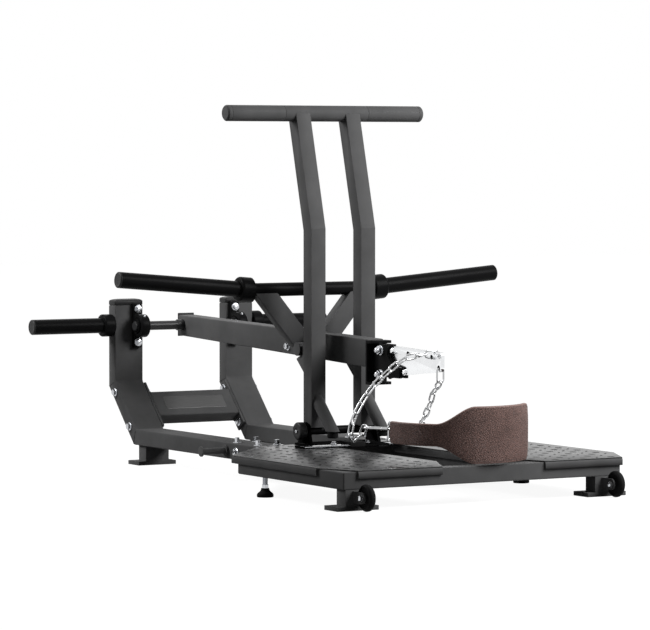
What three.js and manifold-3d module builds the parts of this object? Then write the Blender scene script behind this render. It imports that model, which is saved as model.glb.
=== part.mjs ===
// A plate loaded belt squat machine: a lever arm with two weight horns turns on bearings at the rear,
// rests on the hooks of a handle frame, and carries a belt on chains over a split foot platform.
// Sizes are millimetres. +X is to the right and +Y to the rear as seen from the front, +Z is up.
// Y = 0 is the front face of the two handle posts, Z = 0 is the floor.
import * as THREE from 'three'
import { mergeVertices } from 'three/addons/utils/BufferGeometryUtils.js'
import Module from 'manifold-3d'

const wasm = await Module()
wasm.setup()

// Fits and facets
const clearance = 0.3
const weldGap = 1e-4
const bearingGap = 0.5
const cutOver = 4
const roundSides = 24
const boltSides = 12
const hexSides = 6

// Platform frame of square tube
const frameFloorGap = 61
const frameTube = 50
const platformWide = 960
const platformFront = -805
const sideTubeRear = -190
const rearBeamRear = 88
const rearBeamDeep = 100
const leftRailOut = 165
const rightRailIn = 166

// Tread plates, both with a lip on the left and on the front
const treadThick = 4
const treadLipHigh = 20
const leftTreadWide = 412
const rightTreadLeft = 157
const rightTreadWide = 404
const treadFrontCutWide = 51
const treadFrontCutLong = 148
const treadSlotCutWide = 78
const treadSlotCutLong = 155
const treadRearCutWide = 232
const treadRearCutLong = 248

// Fixed feet, transport wheels and levelling feet
const footPlateWide = 137
const footPlateDeep = 75
const footPlateThick = 13
const footBlockWide = 84
const footBlockDeep = 50
const footInset = 49
const rearFootForward = 162
const wheelRadius = 39
const wheelWide = 20
const wheelFloorGap = 1
const wheelPlace = 46
const wheelHubRadius = 14
const wheelHubWide = 24
const wheelTreadRound = 5
const forkThick = 6
const forkEndRadius = 17
const forkGap = 1
const axleRadius = 6
const axleHeadRadius = 10
const axleHeadThick = 6
const levelInset = 25
const levelPlace = -310
const levelPadRadius = 25
const levelPadHigh = 27
const levelPadTopRadius = 11
const levelPadEdge = 9
const levelNutRadius = 11
const levelNutHigh = 10
const levelStudRadius = 8
const levelTravel = 12

// Side frames: an upright, a slanted stretch and a base tube, of one wide tube
const sideFrameMiddle = 209
const sideTubeWide = 104
const uprightDeep = 47
const uprightFront = 1037
const uprightTop = 516
const slantAngle = 44
const slantFootForward = 129
const baseTubeBottom = 63
const baseTubeHigh = 51
const capSkirt = 8
const capCrown = 12
const capCrownShares = [[0.5, 0.25], [0.85, 0.6], [1, 1]]

// Rear crossmember with its end flanges
const crossmemberHigh = 175
const flangeThick = 8
const flangeLong = 186
const crossBoltPlace = 74
const boltHeadRadius = 10
const boltHeadThick = 8
const washerRadius = 13
const washerThick = 2.5

// Joint bolts on top of the base tubes
const jointBoltHigh = 16
const jointBoltRadius = 8
const jointBoltNear = 118
const jointBoltFar = 250
const jointBoltSpread = 29

// Band pegs on the base tubes
const pegPlace = 278
const pegRadius = 10
const pegLong = 92
const pegFlangeRadius = 18
const pegFlangeThick = 8
const pegDiscRadius = 16
const pegDiscThick = 5

// Storage horns on the uprights
const hornRadius = 25
const storageHigh = 449
const storageLong = 290
const storageCollarLong = 39
const storageCollarRadius = 37
const hornCapThick = 5
const hornCapRound = 3

// Pillow block bearings and the pivot shaft of the arm
const pivotHigh = 448
const bearingRise = 42
const bearingMiddle = 184
const bearingBaseWide = 42
const bearingBaseLong = 148
const bearingBaseThick = 17
const bearingHousingRadius = 38
const bearingHousingWide = 44
const bearingWaist = 30
const bearingRingRadius = 23
const bearingRingWide = 56
const bearingBoltSpread = 55
const shaftRadius = 15
const shaftLong = 424
const shaftMiddleRadius = 18.5
const shaftMiddleLong = 230

// Lever arm: a tapering box beam
const beamWide = 60
const beamRearGap = 11
const beamFront = -190
const beamRearTop = 480
const beamRearBottom = 412
const beamFrontTop = 452
const beamFrontBottom = 366
const beamCapThick = 4
const beamCapRim = 3
const beamBoltPlace = 292
const beamBoltDrop = 15

// Cross tube, weight horns and the struts that carry them
const crossTubePlace = 197
const crossTubeHigh = 593
const crossTubeRadius = 21.3
const crossTubeLong = 439
const hornReach = 679
const hornTilt = 4.9
const collarLong = 46
const collarRadius = 39
const collarRound = 5
const strutWide = 60
const strutDeep = 40
const strutTopInset = 38.5
const strutFootPlace = 42
const strutFootHigh = 428
const strutEndHigh = 409

// Catch pin on the arm and the hooks on the posts
const pinPlace = 121
const pinHigh = 409
const pinRadius = 21
const pinReach = 98
const hookThick = 10
const hookInset = 25
const hookReachAngle = 27
const hookThroatGap = 1.5
const hookThroatHigh = 425
const hookFoot = 300
const hookNose = 3

// End bracket, its gussets and the tongue
const bracketWide = 72
const bracketTop = 449
const bracketBottom = 314
const bracketDeep = 35
const bracketWall = 9
const gussetThick = 10
const tongueThick = 12
const gussetTopReach = 86
const gussetFootReach = 156
const gussetStepHigh = 33
const gussetNotch = 23
const gussetNotchRise = 9
const gussetFootHigh = 32
const gussetDrop = 17
const tongueTip = -574
const tongueTopRear = 439
const tongueTopFront = 428
const tongueBottomRear = 333
const tongueBottomFront = 371
const tongueTipRound = 12
const tongueHoleRadius = 7
const tongueBoltRadius = 8
const tongueBoltPlace = -248
const tongueBoltHigh = 421
const tongueBoltLow = 347
const nutRadius = 13
const nutThick = 13
const studReach = 8
const rivetRadius = 9
const rivetHigh = 6
const rivetAhead = 4
const rivetTopHigh = 421
const rivetFootHigh = 359
const holeTopDrop = 17
const holePlaceShares = [0.5, 0.67, 0.855]
const holeFootPlace = -560
const holeFootRise = 13

// Handle frame
const postWide = 50.3
const postDeep = 49
const postInner = 64.4
const postFoot = 172
const postBend = 783
const postLean = 14.8
const barHigh = 1141.4
const barRadius = 25
const barLong = 705
const gripInner = 149
const gripWall = 4
const gripCapThick = 6
const gripCapRound = 4
const axisPlace = 25
const axisHigh = 161
const axisTubeRadius = 13
const discRadius = 28
const discThick = 26
const discRound = 4
const stopTubeRadius = 19
const stopTopHigh = 250
const stopFootForward = 86
const stopFootHigh = 166
const bumperRadius = 17
const bumperHigh = 21
const bumperRound = 3

// Handle base: a bottom plate and two ears
const basePlateThick = 6
const baseStripWide = 376
const baseStripFront = -85
const baseStripDeep = 63
const basePlateWide = 256
const basePlateRear = 80
const earThick = 10
const earFoot = 78
const earTopRadius = 27
const earSideGap = 2.6
const restPadWide = 54
const restPadHigh = 9
const restPadDeep = 58
const restPadLip = 3

// Chains, snap hooks and end rings
const wireRadius = 2.8
const linkInnerLong = 33
const linkInnerWide = 10.4
const linkSink = 1.1
const topLinkInnerLong = 40
const topLinkInnerWide = 17
const hookWireRadius = 3.6
const snapInnerWide = 26
const ringWireRadius = 3.2
const ringInnerWide = 48
const ringCorner = 9
const ringInBelt = 12
const ringBeyondBelt = 16
const ringSnapRise = 8
const leftSnapRun = [-48, 56, 7]
const rightSnapRun = [-62, 26, -10]
const leftBowShares = [
  [0.17, 0.141, 0], [0.34, 0.189, 0], [0.5, 0.211, 0], [0.67, 0.218, 0.017], [0.76, 0.205, 0.027],
  [0.935, 0.164, 0.045], [1.055, 0.11, 0.064], [1.14, 0.047, 0.079], [1.19, -0.016, 0.089],
  [1.13, -0.09, 0.1],
]
const rightBowShares = [
  [0.256, 0.082, 0.044], [0.43, 0.138, 0.01], [0.655, 0.207, 0.008], [0.83, 0.253, 0.02],
  [0.96, 0.268, -0.033], [1.063, 0.227, -0.072], [1.073, 0.133, -0.069],
]
const linkCornerSteps = 2
const snapCornerSteps = 3
const wireSides = 6
const wireGap = 0.35

// Belt: a strip bent round the waist, tall at the back pad
const beltMiddleX = 25
const beltMiddleY = -605
const beltRadius = 205
const padHigh = 168
const endHigh = 66
const padThick = 15
const endThick = 11
const padMiddleAngle = -75
const padHalfAngle = 31
const taperAngle = 33
const beltLeftAngle = -190
const beltRightAngle = 48
const beltSteps = 36
const beltEdgeShare = 0.32
const beltCrown = 3

// Derived places
const frameTop = frameFloorGap + frameTube
const treadTop = frameTop + clearance + treadThick
const treadLeft = -platformWide / 2 - clearance - treadThick
const treadFront = platformFront - clearance - treadThick
const treadRear = rearBeamRear - 1
const halfPlatform = platformWide / 2
const sideFrameOuter = sideFrameMiddle + sideTubeWide / 2
const sideFrameInner = sideFrameMiddle - sideTubeWide / 2
const uprightRear = uprightFront + uprightDeep
const slantFootRear = uprightFront - slantFootForward
const rearFootPlace = uprightFront - rearFootForward
const beamRear = uprightFront - beamRearGap
const uprightMiddle = (uprightFront + uprightRear) / 2
const pivotPlace = uprightFront - clearance - bearingRise
const baseTubeTop = baseTubeBottom + baseTubeHigh
const slant = THREE.MathUtils.degToRad(slantAngle)
const slantRun = uprightDeep / Math.cos(slant)
const basePlateBottom = treadTop + clearance
const basePlateTop = basePlateBottom + basePlateThick
const postMiddle = postInner + postWide / 2
const postOuter = postInner + postWide
const earInner = postOuter + earSideGap
const earOuter = earInner + earThick
const lean = THREE.MathUtils.degToRad(postLean)
const barPlace = postDeep / 2 + (barHigh - postBend) * Math.tan(lean)
const halfBeam = beamWide / 2
const strutTopPlace = crossTubeLong / 2 - strutTopInset
const beamLength = beamRear - beamFront
const padBottom = treadTop + clearance
const beltLevel = padBottom + padHigh / 2
const webFront = beamFront - clearance - bracketWall
const bracketFront = beamFront - clearance - bracketDeep
const halfTongue = tongueThick / 2

// Colours and finishes
function finish(color, roughness, metalness) {
  return new THREE.MeshStandardMaterial({ color, roughness, metalness, flatShading: true })
}

const darkPaint = () => finish(0x3b3b3d, 0.45, 0.3)
const blackPaint = () => finish(0x141415, 0.4, 0.3)
const treadPaint = () => finish(0x1c1c1e, 0.3, 0.5)
const blackRubber = () => finish(0x111111, 0.85, 0)
const blackPlastic = () => finish(0x18181a, 0.55, 0)
const zinc = () => finish(0xc9ccd0, 0.25, 0.9)
const chrome = () => finish(0xe6e8ea, 0.12, 1)
const leather = () => finish(0x4a3432, 0.6, 0)

// Solids, joined and cut
function solid(geometry) {
  const bare = geometry.clone()
  bare.deleteAttribute('normal')
  bare.deleteAttribute('uv')
  const merged = mergeVertices(bare, weldGap)
  const index = merged.index.array
  const kept = []
  for (let i = 0; i < index.length; i += 3) {
    const [a, b, c] = [index[i], index[i + 1], index[i + 2]]
    if (a !== b && b !== c && c !== a) kept.push(a, b, c)
  }
  return new wasm.Manifold(new wasm.Mesh({
    numProp: 3,
    vertProperties: new Float32Array(merged.attributes.position.array),
    triVerts: new Uint32Array(kept),
  }))
}

function geometryOf(body) {
  const { vertProperties, triVerts, numProp } = body.getMesh()
  const positions = new Float32Array((vertProperties.length / numProp) * 3)
  for (let i = 0; i < positions.length / 3; i += 1) {
    positions.set(vertProperties.subarray(i * numProp, i * numProp + 3), i * 3)
  }
  const geometry = new THREE.BufferGeometry()
  geometry.setAttribute('position', new THREE.BufferAttribute(positions, 3))
  geometry.setIndex(new THREE.BufferAttribute(new Uint32Array(triVerts), 1))
  geometry.computeVertexNormals()
  return geometry
}

function join(first, ...others) {
  return others.reduce((body, other) => body.add(other), first)
}

function cut(first, ...others) {
  return others.reduce((body, other) => body.subtract(other), first)
}

function box(x0, x1, y0, y1, z0, z1) {
  const geometry = new THREE.BoxGeometry(x1 - x0, y1 - y0, z1 - z0)
  geometry.translate((x0 + x1) / 2, (y0 + y1) / 2, (z0 + z1) / 2)
  return solid(geometry)
}

// A shape drawn in (Y, Z), extruded from x0 to x1
function plateAcross(points, x0, x1) {
  const shape = Array.isArray(points) ? outline(points) : points
  const geometry = new THREE.ExtrudeGeometry(shape, {
    depth: x1 - x0, bevelEnabled: false, curveSegments: roundSides / 4,
  })
  const turn = new THREE.Matrix4().set(
    0, 0, 1, x0,
    1, 0, 0, 0,
    0, 1, 0, 0,
    0, 0, 0, 1,
  )
  geometry.applyMatrix4(turn)
  return solid(geometry)
}

// A shape drawn in (X, Y), extruded from z0 to z1
function plateFlat(points, z0, z1) {
  const shape = Array.isArray(points) ? outline(points) : points
  const geometry = new THREE.ExtrudeGeometry(shape, {
    depth: z1 - z0, bevelEnabled: false, curveSegments: roundSides / 4,
  })
  geometry.translate(0, 0, z0)
  return solid(geometry)
}

function outline(points) {
  return new THREE.Shape(points.map(([a, b]) => new THREE.Vector2(a, b)))
}

// A turned piece along X: profile points are [x, radius], from one end of the axis to the other
function turnedAcross(profile, y, z, sides = roundSides) {
  const geometry = new THREE.LatheGeometry(profile.map(([x, r]) => new THREE.Vector2(r, x)), sides)
  geometry.rotateZ(-Math.PI / 2)
  geometry.translate(0, y, z)
  return outward(geometry)
}

// A turned piece along Z: profile points are [z, radius]
function turnedUp(profile, x, y, sides = roundSides) {
  const geometry = new THREE.LatheGeometry(profile.map(([z, r]) => new THREE.Vector2(r, z)), sides)
  geometry.rotateX(Math.PI / 2)
  geometry.translate(x, y, 0)
  return outward(geometry)
}

// A lathe profile may run either way along its axis, so the faces are turned outward here
function outward(geometry) {
  const position = geometry.attributes.position
  const index = geometry.index.array
  const [a, b, c] = [new THREE.Vector3(), new THREE.Vector3(), new THREE.Vector3()]
  let volume = 0
  for (let i = 0; i < index.length; i += 3) {
    a.fromBufferAttribute(position, index[i])
    b.fromBufferAttribute(position, index[i + 1])
    c.fromBufferAttribute(position, index[i + 2])
    volume += a.dot(b.cross(c))
  }
  if (volume < 0) {
    for (let i = 0; i < index.length; i += 3) {
      const held = index[i]
      index[i] = index[i + 1]
      index[i + 1] = held
    }
  }
  return solid(geometry)
}

function rodAcross(radius, x0, x1, y, z, sides = roundSides) {
  return turnedAcross([[x0, 0], [x0, radius], [x1, radius], [x1, 0]], y, z, sides)
}

function rodUp(radius, z0, z1, x, y, sides = roundSides) {
  return turnedUp([[z0, 0], [z0, radius], [z1, radius], [z1, 0]], x, y, sides)
}

// A bolt head with its washer, standing out along X from the face at x; side is 1 or -1
function boltAcross(x, y, z, side) {
  const washer = x + side * washerThick
  const head = washer + side * boltHeadThick
  return join(
    rodAcross(washerRadius, Math.min(x - side * clearance, washer), Math.max(x - side * clearance, washer), y, z, boltSides),
    rodAcross(boltHeadRadius, Math.min(x, head), Math.max(x, head), y, z, hexSides),
  )
}

// Mirror of a body in the plane X = 0
function mirrored(body) {
  return body.mirror([1, 0, 0])
}

const machine = new THREE.Group()
const origin = new THREE.Group()
machine.add(origin)

function place(name, body, material) {
  const mesh = new THREE.Mesh(geometryOf(body), material)
  mesh.name = name
  origin.add(mesh)
  return mesh
}

// A piece on the left and its mirror image on the right
function placePair(name, leftBody, material) {
  place(`left_${name}`, leftBody, material())
  place(`right_${name}`, mirrored(leftBody), material())
}

// Platform frame
function platformFrame() {
  const rearBeamFront = rearBeamRear - rearBeamDeep
  const whole = plateFlat([
    [-halfPlatform, platformFront], [halfPlatform, platformFront], [halfPlatform, sideTubeRear],
    [sideFrameOuter, rearBeamRear], [-sideFrameOuter, rearBeamRear], [-halfPlatform, sideTubeRear],
  ], frameFloorGap, frameTop)
  const inFront = platformFront + frameTube
  const inSide = halfPlatform - frameTube
  const diagonal = Math.hypot(halfPlatform - sideFrameOuter, rearBeamRear - sideTubeRear)
  const slope = (halfPlatform - sideFrameOuter) / (rearBeamRear - sideTubeRear)
  const inShift = frameTube * diagonal / (rearBeamRear - sideTubeRear)
  const innerSideAt = (y) => Math.min(inSide, halfPlatform - inShift - (y - sideTubeRear) * slope)
  const bendPlace = sideTubeRear - (inShift - frameTube) / slope
  const leftHole = [
    [-inSide, inFront], [-leftRailOut, inFront], [-leftRailOut, rearBeamFront],
    [-innerSideAt(rearBeamFront), rearBeamFront], [-inSide, bendPlace],
  ]
  const middleHole = [
    [-leftRailOut + frameTube, inFront], [rightRailIn, inFront],
    [rightRailIn, rearBeamFront], [-leftRailOut + frameTube, rearBeamFront],
  ]
  const rightHole = [
    [rightRailIn + frameTube, inFront], [inSide, inFront], [inSide, bendPlace],
    [innerSideAt(rearBeamFront), rearBeamFront], [rightRailIn + frameTube, rearBeamFront],
  ]
  const bays = [leftHole, middleHole, rightHole].map(
    (hole) => plateFlat(hole, frameFloorGap - cutOver, frameTop + cutOver),
  )
  const boreTop = frameTop - cutOver
  const bores = [-1, 1].map((side) => rodUp(
    levelStudRadius + bearingGap, frameFloorGap - cutOver, boreTop,
    side * (halfPlatform - levelInset), levelPlace, boltSides,
  ))
  return cut(whole, ...bays, ...bores)
}

// A tread plate with its lips on the left and on the front
function treadPlate(left, wide, lipRear, rearLeftCut, rearRightCut) {
  const right = left + wide
  const lipFront = treadFront + treadFrontCutLong
  const frontStart = left + treadFrontCutWide
  const frontEnd = right - treadSlotCutWide
  const rearCutStart = treadRear - treadRearCutLong
  const points = [
    [left, lipFront], [frontStart, treadFront], [frontEnd, treadFront],
    [right, treadFront + treadSlotCutLong],
  ]
  if (rearRightCut) {
    points.push([right, rearCutStart], [right - treadRearCutWide, treadRear])
  } else {
    points.push([right, treadRear])
  }
  if (rearLeftCut) {
    points.push([left + treadRearCutWide, treadRear], [left, rearCutStart])
  } else {
    points.push([left, treadRear])
  }
  const plateBottom = treadTop - treadThick
  const lipBottom = plateBottom - treadLipHigh
  return join(
    plateFlat(points, plateBottom, treadTop),
    box(left, left + treadThick, lipFront, lipRear, lipBottom, treadTop),
    box(frontStart, frontEnd, treadFront, treadFront + treadThick, lipBottom, treadTop),
  )
}

// A fixed foot: a block on a floor plate, with a wheel fork in front of the front ones
function foot(middle, plateFront, under, withFork) {
  const blockTop = under - clearance
  const halfPlate = footPlateWide / 2
  const halfBlock = footBlockWide / 2
  const blockFront = plateFront + clearance
  const body = join(
    box(middle - halfPlate, middle + halfPlate, plateFront, plateFront + footPlateDeep, 0, footPlateThick),
    box(middle - halfBlock, middle + halfBlock, blockFront, blockFront + footBlockDeep, 0, blockTop),
  )
  if (!withFork) return body
  const axlePlace = plateFront - wheelPlace
  const axleHigh = wheelFloorGap + wheelRadius
  const inner = wheelHubWide / 2 + forkGap
  const outer = inner + forkThick
  const cheek = new THREE.Shape()
  cheek.moveTo(blockFront + cutOver, axleHigh - forkEndRadius)
  cheek.lineTo(blockFront + cutOver, axleHigh + forkEndRadius)
  cheek.lineTo(axlePlace, axleHigh + forkEndRadius)
  cheek.absarc(axlePlace, axleHigh, forkEndRadius, Math.PI / 2, Math.PI * 1.5, false)
  cheek.closePath()
  const web = box(
    middle - outer, middle + outer, blockFront - forkThick, blockFront + cutOver,
    axleHigh - forkEndRadius, axleHigh + forkEndRadius,
  )
  const head = outer + axleHeadThick
  return join(
    body, web,
    plateAcross(cheek, middle - outer, middle - inner),
    plateAcross(cheek, middle + inner, middle + outer),
    rodAcross(axleRadius, middle - outer, middle + outer, axlePlace, axleHigh, boltSides),
    rodAcross(axleHeadRadius, middle - head, middle - outer + clearance, axlePlace, axleHigh, hexSides),
    rodAcross(axleHeadRadius, middle + outer - clearance, middle + head, axlePlace, axleHigh, hexSides),
  )
}

function wheel(middle) {
  const halfTread = wheelWide / 2
  const halfHub = wheelHubWide / 2
  const bore = axleRadius + bearingGap
  const flatRadius = wheelRadius - wheelTreadRound
  return turnedAcross([
    [middle - halfHub, bore], [middle - halfHub, wheelHubRadius], [middle - halfTread, wheelHubRadius],
    [middle - halfTread, flatRadius], [middle - halfTread + wheelTreadRound, wheelRadius],
    [middle + halfTread - wheelTreadRound, wheelRadius], [middle + halfTread, flatRadius],
    [middle + halfTread, wheelHubRadius], [middle + halfHub, wheelHubRadius], [middle + halfHub, bore],
    [middle - halfHub, bore],
  ], platformFront - wheelPlace, wheelFloorGap + wheelRadius)
}

function levellingFoot(x) {
  const nutTop = levelPadHigh + levelNutHigh
  return join(
    turnedUp([
      [0, 0], [0, levelPadRadius], [levelPadEdge, levelPadRadius], [levelPadHigh, levelPadTopRadius],
      [levelPadHigh, 0],
    ], x, levelPlace),
    rodUp(levelNutRadius, levelPadHigh - clearance, nutTop, x, levelPlace, hexSides),
    rodUp(levelStudRadius, nutTop - clearance, frameTop - levelTravel - cutOver * 2,
      x, levelPlace, boltSides),
  )
}

// Side frame: upright, slanted stretch and base tube in one outline, with its bolts
function sideFrame() {
  const tan = Math.tan(slant)
  const slantFootFront = slantFootRear - slantRun
  const rearAt = (z) => slantFootRear + (z - baseTubeBottom) * tan
  const frontAt = (z) => slantFootFront + (z - baseTubeBottom) * tan
  const rearBendHigh = baseTubeBottom + (uprightRear - slantFootRear) / tan
  const frontBendHigh = baseTubeBottom + (uprightFront - slantFootFront) / tan
  const tubeFront = rearBeamRear + clearance
  const points = [
    [tubeFront, baseTubeBottom], [rearAt(baseTubeBottom), baseTubeBottom], [uprightRear, rearBendHigh],
    [uprightRear, uprightTop], [uprightFront, uprightTop], [uprightFront, frontBendHigh],
    [frontAt(baseTubeTop), baseTubeTop], [tubeFront, baseTubeTop],
  ]
  const body = plateAcross(points, -sideFrameOuter, -sideFrameInner)
  const bolts = [-1, 1].map((way) => {
    const [y, z] = alongSlant(way * crossBoltPlace)
    return boltAcross(-sideFrameOuter, y, z, -1)
  })
  const joints = []
  for (const place of [jointBoltNear, jointBoltFar]) {
    for (const way of [-1, 1]) {
      joints.push(join(
        rodUp(washerRadius, baseTubeTop - clearance, baseTubeTop + washerThick,
          -sideFrameMiddle + way * jointBoltSpread, place, boltSides),
        rodUp(jointBoltRadius, baseTubeTop, baseTubeTop + jointBoltHigh,
          -sideFrameMiddle + way * jointBoltSpread, place, hexSides),
      ))
    }
  }
  const sideBolt = boltAcross(-sideFrameOuter, (jointBoltNear + jointBoltFar) / 2 + jointBoltSpread,
    baseTubeBottom + baseTubeHigh / 2, -1)
  return join(body, ...bolts, ...joints, sideBolt)
}

// A point on the middle line of the slanted stretch, counted up from the middle of the crossmember
function alongSlant(distance) {
  const high = crossmemberHigh + distance * Math.cos(slant)
  const place = slantFootRear - slantRun / 2 + (high - baseTubeBottom) * Math.tan(slant)
  return [place, high]
}

// A rectangle in (Y, Z) round the crossmember's middle, lying along the slanted stretch
function slantedRectangle(long, thick) {
  const [y, z] = alongSlant(0)
  const along = [Math.sin(slant), Math.cos(slant)]
  const across = [Math.cos(slant), -Math.sin(slant)]
  return [[-1, -1], [1, -1], [1, 1], [-1, 1]].map(([a, b]) => [
    y + a * along[0] * long / 2 + b * across[0] * thick / 2,
    z + a * along[1] * long / 2 + b * across[1] * thick / 2,
  ])
}

function rearCrossmember() {
  const end = sideFrameInner - clearance
  const body = join(
    plateAcross(slantedRectangle(sideTubeWide, uprightDeep), -end, end),
    plateAcross(slantedRectangle(flangeLong, uprightDeep), -end, -end + flangeThick),
    plateAcross(slantedRectangle(flangeLong, uprightDeep), end - flangeThick, end),
  )
  const bolts = []
  for (const way of [-1, 1]) {
    const [y, z] = alongSlant(way * crossBoltPlace)
    bolts.push(boltAcross(-end + flangeThick, y, z, 1), boltAcross(end - flangeThick, y, z, -1))
  }
  return join(body, ...bolts)
}

// Plastic cap with a crowned top, over the upright's open end
function uprightCap() {
  const bottom = uprightTop + clearance
  const halfWide = sideTubeWide / 2
  const halfDeep = uprightDeep / 2
  const skirtTop = bottom + capSkirt
  const shapeAt = (inset) => [
    [-sideFrameMiddle - halfWide + inset, uprightMiddle - halfDeep + inset],
    [-sideFrameMiddle + halfWide - inset, uprightMiddle - halfDeep + inset],
    [-sideFrameMiddle + halfWide - inset, uprightMiddle + halfDeep - inset],
    [-sideFrameMiddle - halfWide + inset, uprightMiddle + halfDeep - inset],
  ]
  const crown = capCrownShares.map(([rise, inset]) => [skirtTop + capCrown * rise, capCrown * inset])
  const steps = [[bottom, 0], [skirtTop, 0], ...crown]
  return loft(steps.map(([z, inset]) => shapeAt(inset).map(([x, y]) => [x, y, z])))
}

// A closed body through rings that have the same number of points
function loft(rings) {
  const count = rings[0].length
  const positions = rings.flat(2)
  const index = []
  for (let i = 0; i + 1 < rings.length; i += 1) {
    for (let j = 0; j < count; j += 1) {
      const a = i * count + j
      const b = i * count + (j + 1) % count
      index.push(a, b, b + count, a, b + count, a + count)
    }
  }
  const last = (rings.length - 1) * count
  for (let j = 1; j + 1 < count; j += 1) {
    index.push(0, j + 1, j, last, last + j, last + j + 1)
  }
  const geometry = new THREE.BufferGeometry()
  geometry.setAttribute('position', new THREE.Float32BufferAttribute(positions, 3))
  geometry.setIndex(index)
  return outward(geometry)
}

function bandPeg() {
  const face = -sideFrameOuter - clearance
  const tip = face - pegLong
  return turnedAcross([
    [tip, 0], [tip, pegDiscRadius], [tip + pegDiscThick, pegDiscRadius], [tip + pegDiscThick, pegRadius],
    [face - pegFlangeThick, pegRadius], [face - pegFlangeThick, pegFlangeRadius], [face, pegFlangeRadius],
    [face, 0],
  ], pegPlace, baseTubeBottom + baseTubeHigh / 2, boltSides)
}

function storageHorn() {
  const face = -sideFrameOuter - clearance
  return turnedAcross([
    [face, 0], [face, storageCollarRadius - collarRound], [face - collarRound, storageCollarRadius],
    [face - storageCollarLong + collarRound, storageCollarRadius],
    [face - storageCollarLong, storageCollarRadius - collarRound], [face - storageCollarLong, hornRadius],
    [face - storageLong, hornRadius], [face - storageLong, 0],
  ], uprightMiddle, storageHigh)
}

function storageCap() {
  const face = -sideFrameOuter - storageLong - clearance * 2
  return turnedAcross([
    [face, 0], [face, hornRadius], [face - hornCapThick + hornCapRound, hornRadius],
    [face - hornCapThick, hornRadius - hornCapRound], [face - hornCapThick, 0],
  ], uprightMiddle, storageHigh)
}

// Pillow block bearing, standing on the upright's front face
function bearing() {
  const base = uprightFront - clearance
  const left = -bearingMiddle - bearingBaseWide / 2
  const right = -bearingMiddle + bearingBaseWide / 2
  const body = new THREE.Shape()
  body.moveTo(base, pivotHigh - bearingBaseLong / 2)
  body.lineTo(base, pivotHigh + bearingBaseLong / 2)
  body.lineTo(base - bearingBaseThick, pivotHigh + bearingBaseLong / 2)
  body.lineTo(base - bearingBaseThick, pivotHigh + bearingWaist)
  body.lineTo(pivotPlace, pivotHigh + bearingHousingRadius)
  body.absarc(pivotPlace, pivotHigh, bearingHousingRadius, Math.PI / 2, Math.PI * 1.5, false)
  body.lineTo(base - bearingBaseThick, pivotHigh - bearingWaist)
  body.lineTo(base - bearingBaseThick, pivotHigh - bearingBaseLong / 2)
  body.closePath()
  const housing = plateAcross(body, left, right)
  const ring = rodAcross(bearingRingRadius, -bearingMiddle - bearingRingWide / 2,
    -bearingMiddle + bearingRingWide / 2, pivotPlace, pivotHigh)
  const bore = rodAcross(shaftRadius + bearingGap, -bearingMiddle - bearingRingWide,
    -bearingMiddle + bearingRingWide, pivotPlace, pivotHigh)
  const bolts = [-1, 1].map((way) => join(
    rodAlongY(washerRadius, base - bearingBaseThick - washerThick, base - bearingBaseThick + clearance,
      -bearingMiddle, pivotHigh + way * bearingBoltSpread, boltSides),
    rodAlongY(boltHeadRadius, base - bearingBaseThick - washerThick - boltHeadThick,
      base - bearingBaseThick, -bearingMiddle, pivotHigh + way * bearingBoltSpread, hexSides),
  ))
  return cut(join(housing, ring, ...bolts), bore)
}

function rodAlongY(radius, y0, y1, x, z, sides = roundSides) {
  const geometry = new THREE.CylinderGeometry(radius, radius, y1 - y0, sides)
  geometry.translate(x, (y0 + y1) / 2, z)
  return solid(geometry)
}

// Handle base: the bottom plate with its wide front strip, and the two ears
function handleBase() {
  const stripRear = baseStripFront + baseStripDeep
  const halfStrip = baseStripWide / 2
  const halfPlate = basePlateWide / 2
  const plate = plateFlat([
    [-halfStrip, baseStripFront], [halfStrip, baseStripFront], [halfStrip, stripRear],
    [halfPlate, stripRear], [halfPlate, basePlateRear], [-halfPlate, basePlateRear],
    [-halfPlate, stripRear], [-halfStrip, stripRear],
  ], basePlateBottom, basePlateTop)
  const ear = new THREE.Shape()
  ear.moveTo(axisPlace - earFoot / 2, basePlateTop - clearance)
  ear.lineTo(axisPlace + earFoot / 2, basePlateTop - clearance)
  ear.lineTo(axisPlace + earTopRadius, axisHigh)
  ear.absarc(axisPlace, axisHigh, earTopRadius, 0, Math.PI, false)
  ear.closePath()
  const bore = rodAcross(axisTubeRadius + bearingGap, -earOuter - cutOver, earOuter + cutOver, axisPlace, axisHigh)
  const body = join(plate, plateAcross(ear, -earOuter, -earInner), plateAcross(ear, earInner, earOuter))
  return cut(body, bore)
}

function restPad() {
  const front = baseStripFront - restPadLip
  const bottom = basePlateTop + clearance
  return join(
    box(-restPadWide / 2, restPadWide / 2, front - clearance, front + restPadDeep, bottom, bottom + restPadHigh),
    box(-restPadWide / 2, restPadWide / 2, front - clearance, baseStripFront - clearance,
      basePlateBottom, bottom + clearance),
  )
}

// Handle posts: straight, then leaning back, coped onto the pivot tube and the bar
function post() {
  const miter = postDeep / 2 * Math.tan(lean / 2)
  const topFront = [barPlace - postDeep / 2 * Math.cos(lean), barHigh + postDeep / 2 * Math.sin(lean)]
  const topRear = [barPlace + postDeep / 2 * Math.cos(lean), barHigh - postDeep / 2 * Math.sin(lean)]
  const body = plateAcross([
    [0, postFoot], [postDeep, postFoot], [postDeep, postBend - miter], topRear, topFront,
    [0, postBend + miter],
  ], -postOuter, -postInner)
  const barCut = rodAcross(barRadius + clearance, -postOuter - cutOver, -postInner + cutOver, barPlace, barHigh)
  const axisCut = rodAcross(axisTubeRadius + clearance, -postOuter - cutOver, -postInner + cutOver,
    axisPlace, axisHigh)
  return cut(body, barCut, axisCut)
}

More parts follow.
